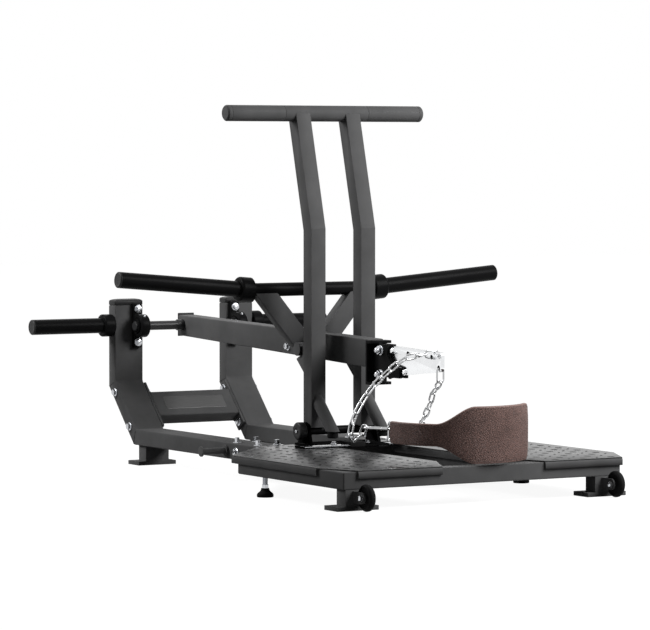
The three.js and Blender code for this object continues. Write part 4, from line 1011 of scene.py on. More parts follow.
class BuildCrossmember(bpy.types.Operator):
    """Rear crossmember between its two flanges, with a bare plate on its front."""

    bl_idname = "belt_squat.crossmember"
    bl_label = "Rear crossmember"

    # Half width, half height and rise of each ring of the plate with its fine raised rim
    plate_rings = (
        (112, 26, 0), (112, 26, 1.1), (111.5, 25.5, 1.4), (109.5, 23.5, 1.4), (109, 23, 0.9),
    )
    plate_corner = 4
    bead_short, bead_proud = 4, 0.5

    def execute(self, context):
        tube = settings().tube
        flange_face = CROSSMEMBER_HALF - FLANGE_THICK
        bm, bolts = bmesh.new(), bmesh.new()
        eased_prism(
            bm, slanted_rectangle(TUBE_WIDE, TUBE_THICK), -CROSSMEMBER_HALF, CROSSMEMBER_HALF, tube.corner,
        )
        for way in (-1, 1):
            flange = slanted_rectangle(FLANGE_LONG, TUBE_THICK)
            eased_prism(bm, flange, CROSSMEMBER_HALF * way, flange_face * way, tube.plate_corner)
            joint = slanted_rectangle(TUBE_WIDE - self.bead_short, TUBE_THICK + self.bead_proud)
            bead(bm, straight([(flange_face * way, y, z) for y, z in joint]), True)
            for y, z in map(slant_point, FLANGE_BOLTS):
                bolt(bolts, at(flange_face * way, y, z), ACROSS * -way)
        new_piece("crossmember_tube", bm, "base", "charcoal_paint", ["rear_crossmember"])
        new_piece("crossmember_bolts", bolts, "base", "zinc_steel")
        self.plate()
        return {"FINISHED"}

    def plate(self):
        """A thin bare plate on the middle of the crossmember."""
        up = Vector((0, math.sin(SLANT), math.cos(SLANT)))
        outwards = Vector((0, -math.cos(SLANT), math.sin(SLANT)))
        front = at(0, *slant_point(0)) + outwards * TUBE_THICK / 2 * MM
        turn = Matrix((ACROSS, up, outwards)).transposed().to_4x4()
        bm = bmesh.new()
        skin(bm, [
            rounded_rectangle(
                bm, (-wide * MM, wide * MM), (-high * MM, high * MM), rise * MM, self.plate_corner * MM,
            )
            for wide, high, rise in self.plate_rings
        ])
        bmesh.ops.transform(bm, matrix=Matrix.Translation(front) @ turn, verts=bm.verts)
        new_piece("crossmember_bare_plate", bm, "base", "bare_plate")


HORN_RADIUS = 25
PLUG = (
    (0, 0), (0, 25), (2.2, 24.9, 1), (4.8, 22.2, 1.6), (5, 19, 0.8), (4.3, 16.5, 0.8), (4.3, 2.2), (4.7, 1.6),
    (4.7, 0),
)


def end_cap(name, place, body):
    """A moulded plug in the open end of a horn: a rim, a shallow dish and a small sprue mark."""
    turned_piece(f"{name}_plug", PLUG, place, body, "black_plastic", [f"{name}_cap"], 64)


class BuildPegsAndHorns(bpy.types.Operator):
    """Band pegs, storage horns and their caps."""

    bl_idname = "belt_squat.storage"
    bl_label = "Band pegs and storage horns"

    peg = (
        (0, 0), (0, 18, 0.6), (8, 18, 1.2), (8, 10.5, 1.5), (87, 10, 1), (87, 16, 0.8), (92, 16, 1.6), (92, 0),
    )
    horn_long = 290
    horn = (
        (0, 0), (0, 34.5), (3, 37, 2), (36, 37, 3), (39, 33.5, 2), (39, 25.5, 1), (41, HORN_RADIUS, 1),
        (horn_long, HORN_RADIUS, 0.4), (horn_long, 0),
    )

    def execute(self, context):
        face = SIDE_OUTER + FACE_GAP
        for side, way in SIDES:
            peg, horn = f"{side}_band_peg", f"{side}_storage_horn"
            turned_piece(
                f"{side}_band_post", self.peg, outward(peg, face, way), "base", "charcoal_paint", [peg],
            )
            turned_piece(
                f"{side}_storage_sleeve", self.horn, outward(horn, face, way), "base", "black_paint", [horn], 72,
            )
            cap_face = face + self.horn_long + FACE_GAP
            end_cap(f"{side}_storage", outward(horn, cap_face, way), "base")
        return {"FINISHED"}


class BuildBearings(bpy.types.Operator):
    """Cast pillow blocks, their bolts and grease nipples, and the turned pivot shaft."""

    bl_idname = "belt_squat.bearings"
    bl_label = "Bearings and shaft"

    axle = ((212, 0), (212, 15, 1.5), (52, 15, 0.5), (52, 18.5, 1.2))
    block_x, half_thick = 184, 15
    pivot_y, pivot_z = 994.7, 448
    base_deep, base_half, neck_half = 17, 74, 33
    housing_radius, housing_open, housing_steps = 38, 62, 16
    casting_edge = 3
    bolt_spread = (-55, 55)
    nipple_lean, nipple_foot = 0.6, 37.2
    insert = (
        (12, 15.6), (12, 34, 1), (16.5, 32.5, 2), (16.5, 27, 1), (14.5, 26.2, 0.6), (14.5, 23.5, 0.6),
        (21, 22.5, 1), (21, 15.6, 0.8), (12, 15.6),
    )
    nipple = ((0, 0), (0, 3.5), (2, 3.5, 0.4), (2.5, 2.2, 0.4), (5, 3, 0.6), (6.5, 2, 0.6), (6.5, 0))

    def execute(self, context):
        for side, way in SIDES:
            self.block(side, way)
        # The shaft takes the black paint lightened grey as a painted highlight.
        turned_piece(
            "pivot_axle", mirrored(self.axle), Matrix.Translation(middle_of("pivot_shaft")), "arm",
            "highlit_black_paint", ["pivot_shaft"], 64,
        )
        return {"FINISHED"}

    def block(self, side, way):
        rear, y, z = UPRIGHT_FRONT - FACE_GAP, self.pivot_y, self.pivot_z
        front = rear - self.base_deep
        outline = [(rear, z - self.base_half), (rear, z + self.base_half), (front, z + self.base_half),
                   (front, z + self.neck_half)]
        for k in range(self.housing_steps + 1):
            a = math.radians(self.housing_open + (360 - 2 * self.housing_open) * k / self.housing_steps)
            outline.append((y + self.housing_radius * math.cos(a), z + self.housing_radius * math.sin(a)))
        outline += [(front, z - self.neck_half), (front, z - self.base_half)]
        centre = at(self.block_x * way, y, z)
        bm, bolts = bmesh.new(), bmesh.new()
        eased_prism(
            bm, outline, (self.block_x - self.half_thick) * way, (self.block_x + self.half_thick) * way,
            self.casting_edge * MM, 35,
        )
        for end in (-1, 1):
            insert = [(along * end, *rest) for along, *rest in self.insert]
            turned(bm, insert, frame_along(centre, ACROSS * way), 64)
        new_piece(f"{side}_pillow_block", bm, "base", "black_paint", [f"{side}_bearing"])
        for spread in self.bolt_spread:
            bolt(bolts, at(self.block_x * way, front, z + spread), -REARWARD)
        lean = Vector((0, -math.sin(self.nipple_lean), math.cos(self.nipple_lean)))
        turned(bolts, self.nipple, frame_along(centre + lean * self.nipple_foot * MM, lean), 24, 3)
        new_piece(f"{side}_pillow_bolts", bolts, "base", "zinc_steel")


# Handle


class BuildHandleBase(bpy.types.Operator):
    """Base plate with its two ears, and the rubber pad that the arm's end stands over."""

    bl_idname = "belt_squat.handle_base"
    bl_label = "Handle base"

    ear_faces = (117.3, 127.3)
    ear_front, ear_rear, plate_high = -12, 62, 121.6
    bolt_place = (60, -42, 123)
    plate_thick = 6
    # The highlight strip's outline from the plate's top front edge, and the two stretches of its width
    strip = ((-0.6, -2.8), (-0.6, 0.1), (-0.1, 0.6), (30, 0.6), (30, -0.3), (1, -0.3), (1, -2.8))
    strip_runs = ((-187, -27.5), (113, 187))

    def execute(self, context):
        dress("handle_base", "matt_black_paint", settings().tube.plate_corner, 40, 2)
        dress("arm_stop_pad", "black_rubber", 1.6 * MM, 40)
        beads, bolts = bmesh.new(), bmesh.new()
        x, y, z = self.bolt_place
        for way in (-1, 1):
            for ear in self.ear_faces:
                bead(beads, straight([(ear * way, end, self.plate_high) for end in (self.ear_front, self.ear_rear)]))
            bolt(bolts, at(x * way, y, z), UPWARD, 1.8, 5.5, 7.5, 9.8)
        new_piece("ear_welds", beads, "base", "black_paint")
        new_piece("base_plate_bolts", bolts, "base", "zinc_steel")
        # A bright strip on the plate's front edge, as a painted highlight.
        self.painted_highlight_strip()
        return {"FINISHED"}

    def painted_highlight_strip(self):
        """A zinc strip folded over the base plate's front edge, beside the pad and outside the ears: a painted
        highlight along that edge.
        """
        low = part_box("handle_base")[0]
        top = low.z + self.plate_thick * MM
        bm = bmesh.new()
        for start, end in self.strip_runs:
            prism(bm, self.strip, start * MM, end * MM,
                  lambda a, z, x: Vector((x, low.y + a * MM, top + z * MM)))
        new_piece("base_plate_wear_strip", bm, "base", "zinc_steel")


class BuildHandle(bpy.types.Operator):
    """Handle posts, bar, grips, pivot discs, stop struts, bumpers and hooks."""

    bl_idname = "belt_squat.handle"
    bl_label = "Handle"

    bar_half, bar_radius = 148.8, 25
    grip_start, grip_end = 149.3, 352.5
    disc_face, screw_foot, screw_radius, screw_high, socket = 127.9, 24.3, 5.6, 4.2, 2.4
    disc = (
        (0, 0), (0, 24.5), (3, 28, 2.5), (22.5, 28, 3.5), (26, 23.5, 2), (26, 10.5, 0.8), (24.5, 9.8), (24.5, 0),
    )
    pivot_radius = 13
    strut_x, strut_radius, strut_sides = 89.55, 19, 64
    strut_top, strut_foot = (0, 250), (-86, 166)
    buffer = (
        (0, 0), (0, 16.8, 0.6), (5, 17, 1), (5.5, 15.8, 0.8), (7.5, 15.8, 0.8), (8, 17, 1), (18, 16.8, 3),
        (21, 13.5, 1.5), (21, 4), (19.5, 3.5), (19.5, 0),
    )
    bar_lean, bar_weld_half, bar_weld_steps = 14.8, 62, 8
    post_sides, post_rear = (64.4, 114.7), 49.4
    hook_sides, hook_low, hook_high = (79.7, 89.7), 304, 470

    def execute(self, context):
        tube = settings().tube
        for side, way in SIDES:
            dress(f"{side}_post", "charcoal_paint", tube.corner, 12)
            dress(f"{side}_hook_plate", "charcoal_paint", tube.plate_corner, 40, 2)
            self.strut(side, way)
            self.grip(side, way)
            self.pivot_disc(side, way)
        turned_piece(
            "handle_tube", mirrored([(self.bar_half, 0), (self.bar_half, self.bar_radius, 0.6)]),
            Matrix.Translation(middle_of("handle_bar")), "handle", "charcoal_paint", ["handle_bar"], 72,
        )
        low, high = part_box("handle_pivot_tube")
        half = (high.x - low.x) / 2 / MM
        turned_piece(
            "pivot_tube", mirrored([(half, 0), (half, self.pivot_radius, 0.8)]),
            Matrix.Translation((low + high) / 2), "handle", "black_paint", ["handle_pivot_tube"],
        )
        self.welds()
        return {"FINISHED"}

    def grip(self, side, way):
        """A sleeve with a fine joint line beside its rounded end."""
        node, end, radius = f"{side}_grip", self.grip_end, self.bar_radius
        turned_piece(f"{node}_sleeve", [
            (self.grip_start, 0), (self.grip_start, radius, 0.8), (end - 16.5, radius, 0.4),
            (end - 16, radius - 0.7, 0.2), (end - 15, radius - 0.7, 0.2), (end - 14.5, radius, 0.4),
            (end - 4.5, radius, 2), (end, 20.5, 2.2), (end, 18.5), (end - 0.6, 18), (end - 0.6, 0),
        ], outward(node, 0, way), "handle", "charcoal_paint", [node], 72)

    def pivot_disc(self, side, way):
        node = f"{side}_pivot_disc"
        turned_piece(
            f"{side}_disc", self.disc, outward(node, self.disc_face, way), "handle", "black_plastic", [node], 72,
        )
        bm = bmesh.new()
        screw = outward(node, self.disc_face + self.screw_foot, way)
        hex_head(bm, screw, self.screw_radius, self.screw_high, socket=self.socket)
        new_piece(f"{side}_disc_screw", bm, "handle", "zinc_steel")

    def strut(self, side, way):
        """A round stop tube that leans on the post and stands over its bumper."""
        x = self.strut_x * way
        top, low = at(x, *self.strut_top), at(x, *self.strut_foot)
        run = (top - low).normalized()
        over = ACROSS.cross(run)
        rings = [[], []]
        for k in range(self.strut_sides):
            a = math.tau * k / self.strut_sides
            point = low + (ACROSS * math.cos(a) + over * math.sin(a)) * self.strut_radius * MM
            rings[0].append(point + run * (low.z - point.z) / run.z)
            rings[1].append(point + run * (POST_FACE - FACE_GAP * MM - point.y) / run.y)
        bm = bmesh.new()
        skin(bm, [[bm.verts.new(point) for point in ring] for ring in rings])
        bead(bm, [point - REARWARD * 0.5 * MM for point in rings[1]], True)
        new_piece(f"{side}_stop_tube", bm, "handle", "charcoal_paint", [f"{side}_stop_strut"])
        node = f"{side}_bumper"
        centre = middle_of(node)
        centre.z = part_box(node)[1].z
        turned_piece(
            f"{side}_buffer", self.buffer, frame_along(centre, -UPWARD), "handle", "black_rubber", [node],
        )

    def welds(self):
        bm = bmesh.new()
        middle = middle_of("handle_bar")
        steps, radius = self.bar_weld_steps, (self.bar_radius + 0.5) * MM
        for _, way in SIDES:
            for x in self.post_sides:
                path = []
                for k in range(steps + 1):
                    a = math.radians(-90 - self.bar_lean - self.bar_weld_half + 2 * self.bar_weld_half * k / steps)
                    path.append(Vector((
                        x * way * MM, middle.y + radius * math.cos(a), middle.z + radius * math.sin(a),
                    )))
                bead(bm, path)
            for x in self.hook_sides:
                bead(bm, straight([(x * way, self.post_rear, z) for z in (self.hook_low, self.hook_high)]))
        new_piece("handle_welds", bm, "handle", "charcoal_paint")


# Arm


class BuildArm(bpy.types.Operator):
    """Lever arm: the tapering beam, its rear cap, struts, cross tube, catch pin and weight horns."""

    bl_idname = "belt_squat.arm"
    bl_label = "Lever arm and weight horns"

    beam = ((-190, 366), (1026, 412), (1026, 480), (-190, 452))
    beam_half = 30
    beam_bolt = (292, 408.7)
    cross_half, cross_radius, cross_y, cross_z = 219.5, 21.3, 197, 593
    pin_half, pin_radius, pin_y, pin_z = 98, 21, 121, 409
    horn_tilt, horn_end, collar_end, collar_radius = 4.9, 679, 46, 39

    def execute(self, context):
        bm, bolts = bmesh.new(), bmesh.new()
        eased_prism(bm, self.beam, -self.beam_half, self.beam_half, settings().tube.corner)
        new_piece("arm_beam", bm, "arm", "charcoal_paint", ["lever_arm"])
        for way in (-1, 1):
            bolt(bolts, at(self.beam_half * way, *self.beam_bolt), ACROSS * way)
        new_piece("arm_beam_bolts", bolts, "arm", "zinc_steel")
        dress("arm_rear_cap", "black_plastic", 1.2 * MM, 40, 2)
        # The catch bar takes the black paint lightened grey as a painted highlight.
        for name, finish_name, node, half, radius, corner, y, z in (
            ("cross_bar", "black_paint", "cross_tube", self.cross_half, self.cross_radius, 0.5,
             self.cross_y, self.cross_z),
            ("catch_bar", "highlit_black_paint", "catch_pin", self.pin_half, self.pin_radius, 1.5,
             self.pin_y, self.pin_z),
        ):
            bm = bmesh.new()
            rod(bm, at(-half, y, z), at(half, y, z), radius, corner)
            new_piece(name, bm, "arm", finish_name, [node])
        for side, way in SIDES:
            dress(f"{side}_arm_strut", "charcoal_paint", 3 * MM, 40)
            self.horn(side, way)
        self.welds()
        return {"FINISHED"}

    def horn(self, side, way):
        """The sleeve tilts up; its collar is cut square against the cross tube's end."""
        tilt = math.radians(self.horn_tilt)
        direction = Vector((way * math.cos(tilt), 0, math.sin(tilt)))
        foot = self.cross_half + FACE_GAP
        start = at(foot * way, self.cross_y, self.cross_z)
        reach = (self.horn_end - foot) / math.cos(tilt)
        collar, radius = self.collar_end, self.collar_radius
        bm = bmesh.new()
        turned(bm, [
            (-30, 0), (-30, radius), (collar - 4.5, radius, 4), (collar, radius - 4.5, 2),
            (collar, HORN_RADIUS + 0.6, 1), (collar + 2.5, HORN_RADIUS, 1), (reach, HORN_RADIUS, 0.4), (reach, 0),
        ], frame_along(start, direction), 72)
        cut = bmesh.ops.bisect_plane(
            bm, geom=bm.verts[:] + bm.edges[:] + bm.faces[:], plane_co=start, plane_no=-ACROSS * way,
            clear_outer=True,
        )
        bmesh.ops.holes_fill(bm, edges=[e for e in cut["geom_cut"] if isinstance(e, bmesh.types.BMEdge)], sides=0)
        new_piece(f"{side}_weight_sleeve", bm, "arm", "black_paint", [f"{side}_weight_horn"])
        end_cap(f"{side}_horn", frame_along(start + direction * (reach + FACE_GAP) * MM, direction), "arm")

    def welds(self):
        bm = bmesh.new()
        for way in (-1, 1):
            for x, y, z, radius in (
                (self.cross_half + 0.1, self.cross_y, self.cross_z, self.cross_radius + 1.2),
                (self.beam_half + 0.2, self.pin_y, self.pin_z, self.pin_radius + 0.4),
            ):
                bead(bm, circle(frame_along(at(x * way, y, z), ACROSS * way), 0, radius), True)
        new_piece("arm_welds", bm, "arm", "black_paint")


def pierced_plate(bm, outline, holes, start, end, radius):
    """A plate across X with round holes (y, z, radius), and both its rims eased."""
    own = bmesh.new()
    loops = [[at(start, y, z) for y, z in outline]]
    for y, z, hole in holes:
        loops.append([
            at(start, y + hole * math.cos(a), z + hole * math.sin(a)) for a in (math.tau * k / 40 for k in range(40))
        ])
    edges = []
    for points in loops:
        verts = [own.verts.new(point) for point in points]
        edges += [own.edges.new(pair) for pair in zip(verts, verts[1:] + verts[:1])]
    filled = bmesh.ops.triangle_fill(own, use_beauty=True, edges=edges)
    faces = [f for f in filled["geom"] if isinstance(f, bmesh.types.BMFace)]
    grown = bmesh.ops.extrude_face_region(own, geom=faces)
    moved = [v for v in grown["geom"] if isinstance(v, bmesh.types.BMVert)]
    bmesh.ops.translate(own, verts=moved, vec=ACROSS * (end - start) * MM)
    bmesh.ops.recalc_face_normals(own, faces=own.faces)
    bmesh.ops.dissolve_limit(own, angle_limit=0.01, verts=own.verts, edges=own.edges)
    ease(own, radius, 60, 2)
    return add_to(bm, own)


WEB_FRONT = -199.3
TONGUE_TIP, TONGUE_HALF, HOLE_RADIUS = -574, 6, 7
ROOT_TOP, ROOT_FOOT, TIP_TOP, TIP_FOOT, TIP_ROUND = 439, 333, 428, 371, 12
# Where the holes along the top edge are, in shares of the tongue's length, and how far they are from an edge
TOP_HOLES, TOP_HOLE_DOWN = (0.5, 0.67, 0.855), 17
LOW_HOLE_BACK, LOW_HOLE_UP = 14, 13


def tongue_top(y):
    return ROOT_TOP + (TIP_TOP - ROOT_TOP) * (WEB_FRONT - y) / (WEB_FRONT - TONGUE_TIP)


def tongue_foot(y):
    return ROOT_FOOT + (TIP_FOOT - ROOT_FOOT) * (WEB_FRONT - y) / (WEB_FRONT - TONGUE_TIP)


def tongue_holes():
    """Three holes along the tongue's top edge, then one at its tip's lower corner, in millimetres."""
    ways = [WEB_FRONT + (TONGUE_TIP - WEB_FRONT) * part for part in TOP_HOLES]
    y = TONGUE_TIP + LOW_HOLE_BACK
    return [*((way, tongue_top(way) - TOP_HOLE_DOWN) for way in ways), (y, tongue_foot(y) + LOW_HOLE_UP)]


class BuildBracket(bpy.types.Operator):
    """End bracket of channel and gussets, and the chromed tongue bolted between them."""

    bl_idname = "belt_squat.bracket"
    bl_label = "End bracket and tongue"

    channel_rear, channel_front, channel_half = -190.3, -225.3, 36
    channel_top, channel_foot, wall = 449, 314, 9
    gusset = (
        (-199.6, 340), (-355.3, 340), (-355.3, 372), (-308.3, 381), (-285.3, 407.3), (-285.3, 439.7),
        (-199.6, 439.7),
    )
    gusset_inner, gusset_outer = 6.3, 16.3
    gusset_weld = (345, 436)
    bolt_y, bolt_heights = -248, (421, 347)
    washer = ((0, 0), (0, 15.5), (2.5, 15.5, 0.7), (2.5, 0))
    dome = ((0, 0), (0, 9.3), (2, 9.3, 0.4), (7.5, 8.4, 3), (9.7, 4.5, 2), (9.7, 0))
    nut_radius, nut_high, head_high, dome_foot = 13, 9.2, 10.5, 11.3
    rivet = ((-1, 0), (-1, 9), (1.5, 9, 1), (5.2, 6.8, 2.8), (6.2, 2.5, 2), (6.2, 0))
    rivet_places = ((-298.3, 421), (-368.3, 359))

    def execute(self, context):
        corner = settings().tube.plate_corner
        rear, front, top, foot, wall = (
            self.channel_rear, self.channel_front, self.channel_top, self.channel_foot, self.wall,
        )
        channel = [
            (rear, foot), (rear, top), (front, top), (front, top - wall), (WEB_FRONT, top - wall),
            (WEB_FRONT, foot + wall), (front, foot + wall), (front, foot),
        ]
        bm = bmesh.new()
        eased_prism(bm, channel, -self.channel_half, self.channel_half, corner, 40, 2)
        for way in (-1, 1):
            eased_prism(bm, self.gusset, self.gusset_inner * way, self.gusset_outer * way, corner, 20, 2)
            bead(bm, straight([((self.gusset_outer + 0.2) * way, WEB_FRONT, z) for z in self.gusset_weld]))
        new_piece("bracket_channel", bm, "arm", "black_paint", ["arm_end_bracket"])
        self.bolts()
        self.tongue()
        return {"FINISHED"}

    def bolts(self):
        """Hex heads on the right, and nuts with the domed ends of the bolts on the left."""
        bm = bmesh.new()
        thick = self.washer[-1][0]
        for z in self.bolt_heights:
            for way, high in ((-1, self.nut_high), (1, self.head_high)):
                face = self.gusset_outer * way
                turned(bm, self.washer, frame_along(at(face, self.bolt_y, z), ACROSS * way), 44)
                seat = frame_along(at(face + thick * way, self.bolt_y, z), ACROSS * way)
                hex_head(bm, seat, self.nut_radius, high)
            stud = frame_along(at(-self.gusset_outer - self.dome_foot, self.bolt_y, z), -ACROSS)
            turned(bm, self.dome, stud, 36)
        new_piece("bracket_bolts", bm, "arm", "zinc_steel")

    def tongue(self):
        rear, tip, round_, steps = WEB_FRONT - FACE_GAP, TONGUE_TIP, TIP_ROUND, 8
        outline = [(rear, tongue_foot(rear)), (rear, tongue_top(rear))]
        for corner, before, after in (
            ((tip, TIP_TOP), (tip + round_, tongue_top(tip + round_)), (tip, TIP_TOP - round_)),
            ((tip, TIP_FOOT), (tip, TIP_FOOT + round_), (tip + round_, tongue_foot(tip + round_))),
        ):
            outline += [
                tuple(curved(*parts, step / steps) for parts in zip(before, corner, after))
                for step in range(steps + 1)
            ]
        holes = [(y, z, HOLE_RADIUS) for y, z in tongue_holes()]
        bm = bmesh.new()
        # The walls of the holes take the black finish: painted shade inside them.
        for face in pierced_plate(bm, outline, holes, -TONGUE_HALF, TONGUE_HALF, 0.9 * MM):
            middle = face.calc_center_median()
            if any((middle - at(middle.x / MM, y, z)).length < (radius + 0.2) * MM for y, z, radius in holes):
                face.material_index = 1
        for y, z in self.rivet_places:
            for way in (-1, 1):
                turned(bm, self.rivet, frame_along(at(TONGUE_HALF * way, y, z), ACROSS * way), 40)
        new_piece("tongue_plate", bm, "arm", "bright_chrome", ["tongue"], finishes=["black_plastic"])


# Sling: chains, snap hooks, rings and the belt. Its points are Vectors in millimetres until they are placed.

BELT_MIDDLE = (25, -605)
BELT_RADIUS = 205
PAD_FOOT, PAD_HIGH, STRAP_HIGH = 115.6, 168, 66
PAD_THICK, STRAP_THICK, PAD_CROWN = 15, 11, 3
PAD_ANGLE, PAD_HALF, STRAP_FROM = -75, 31, 64
BELT_LEVEL = PAD_FOOT + PAD_HIGH / 2
BELT_LEFT, BELT_RIGHT = -190, 48
RING_IN_BELT, RING_BEYOND = 12, 16
WIRE_GAP, LINK_SINK = 0.35, 1.1
LINK_LONG, LINK_WIDE = 33, 10.4
TOP_LINK_LONG, TOP_LINK_WIDE = 40, 17
# How a chain bows from its top link to its snap hook, in shares of that distance: along, out and aside
LEFT_BOW = (
    (0.17, 0.141, 0), (0.34, 0.189, 0), (0.5, 0.211, 0), (0.67, 0.218, 0.017), (0.76, 0.205, 0.027),
    (0.935, 0.164, 0.045), (1.055, 0.11, 0.064), (1.14, 0.047, 0.079), (1.19, -0.016, 0.089), (1.13, -0.09, 0.1),
)
RIGHT_BOW = (
    (0.256, 0.082, 0.044), (0.43, 0.138, 0.01), (0.655, 0.207, 0.008), (0.83, 0.253, 0.02),
    (0.96, 0.268, -0.033), (1.063, 0.227, -0.072), (1.073, 0.133, -0.069),
)


def quarter_turn(along, normal):
    return along.cross(normal).normalized()


def onward_at(angle, side):
    """The way the belt's middle line runs on at one of its ends."""
    a = math.radians(angle)
    return Vector((-math.sin(a), math.cos(a), 0)) * side


def on_belt(angle, out, up):
    a = math.radians(angle)
    x, y = BELT_MIDDLE
    return Vector((x + (BELT_RADIUS + out) * math.cos(a), y + (BELT_RADIUS + out) * math.sin(a), BELT_LEVEL + up))


def beyond_belt(angle, side, distance):
    return on_belt(angle, 0, 0) + onward_at(angle, side) * distance


def curve_point(points, t):
    """A point on a centripetal Catmull-Rom curve through the points."""
    last = len(points) - 1
    i = min(int(last * t), last - 1)
    weight = last * t - i
    p1, p2 = points[i], points[i + 1]
    p0 = points[i - 1] if i else p1 * 2 - p2
    p3 = points[i + 2] if i + 2 <= last else p2 * 2 - p1
    d0, d1, d2 = (math.sqrt((b - a).length) for a, b in ((p0, p1), (p1, p2), (p2, p3)))
    start = ((p1 - p0) / d0 - (p2 - p0) / (d0 + d1) + (p2 - p1) / d1) * d1
    end = ((p2 - p1) / d1 - (p3 - p1) / (d1 + d2) + (p3 - p2) / d2) * d1
    square = p1 * -3 + p2 * 3 - start * 2 - end
    cube = p1 * 2 - p2 * 2 + start + end
    return p1 + start * weight + square * weight ** 2 + cube * weight ** 3


def spaced(points, step):
    """Places at equal distances along the curve: an even number of steps, each about as long as asked."""
    parts = 200
    fine = [curve_point(points, k / parts) for k in range(parts + 1)]
    reached = [0.0]
    for a, b in zip(fine, fine[1:]):
        reached.append(reached[-1] + (b - a).length)
    count = 2 * round(reached[-1] / step / 2)
    places = []
    for k in range(count):
        target = reached[-1] * k / count
        i = max(j for j in range(parts) if reached[j] <= target + 1e-9)
        t = (i + (target - reached[i]) / (reached[i + 1] - reached[i])) / parts
        places.append(curve_point(points, t))
    return [*places, fine[-1]]


def chain_way(top, end, bow, bends):
    run = end - top
    out = (bow - run * (bow.dot(run) / run.length_squared)).normalized()
    aside = quarter_turn(run, out)
    reach = run.length
    return [top, *(top + run * along + out * off * reach + aside * over * reach for along, off, over in bends), end]


def wire_loop(bm, start, end, wire, inner_wide, corner, normal, extra=0.0, sides=14, steps=8):
    """A closed loop of wire whose two ends bear on two points; returns its middle line."""
    path = straight(loop_path(start, end, wire, inner_wide, corner, normal, extra, steps))
    swept(bm, path, wire * MM, sides)
    return path


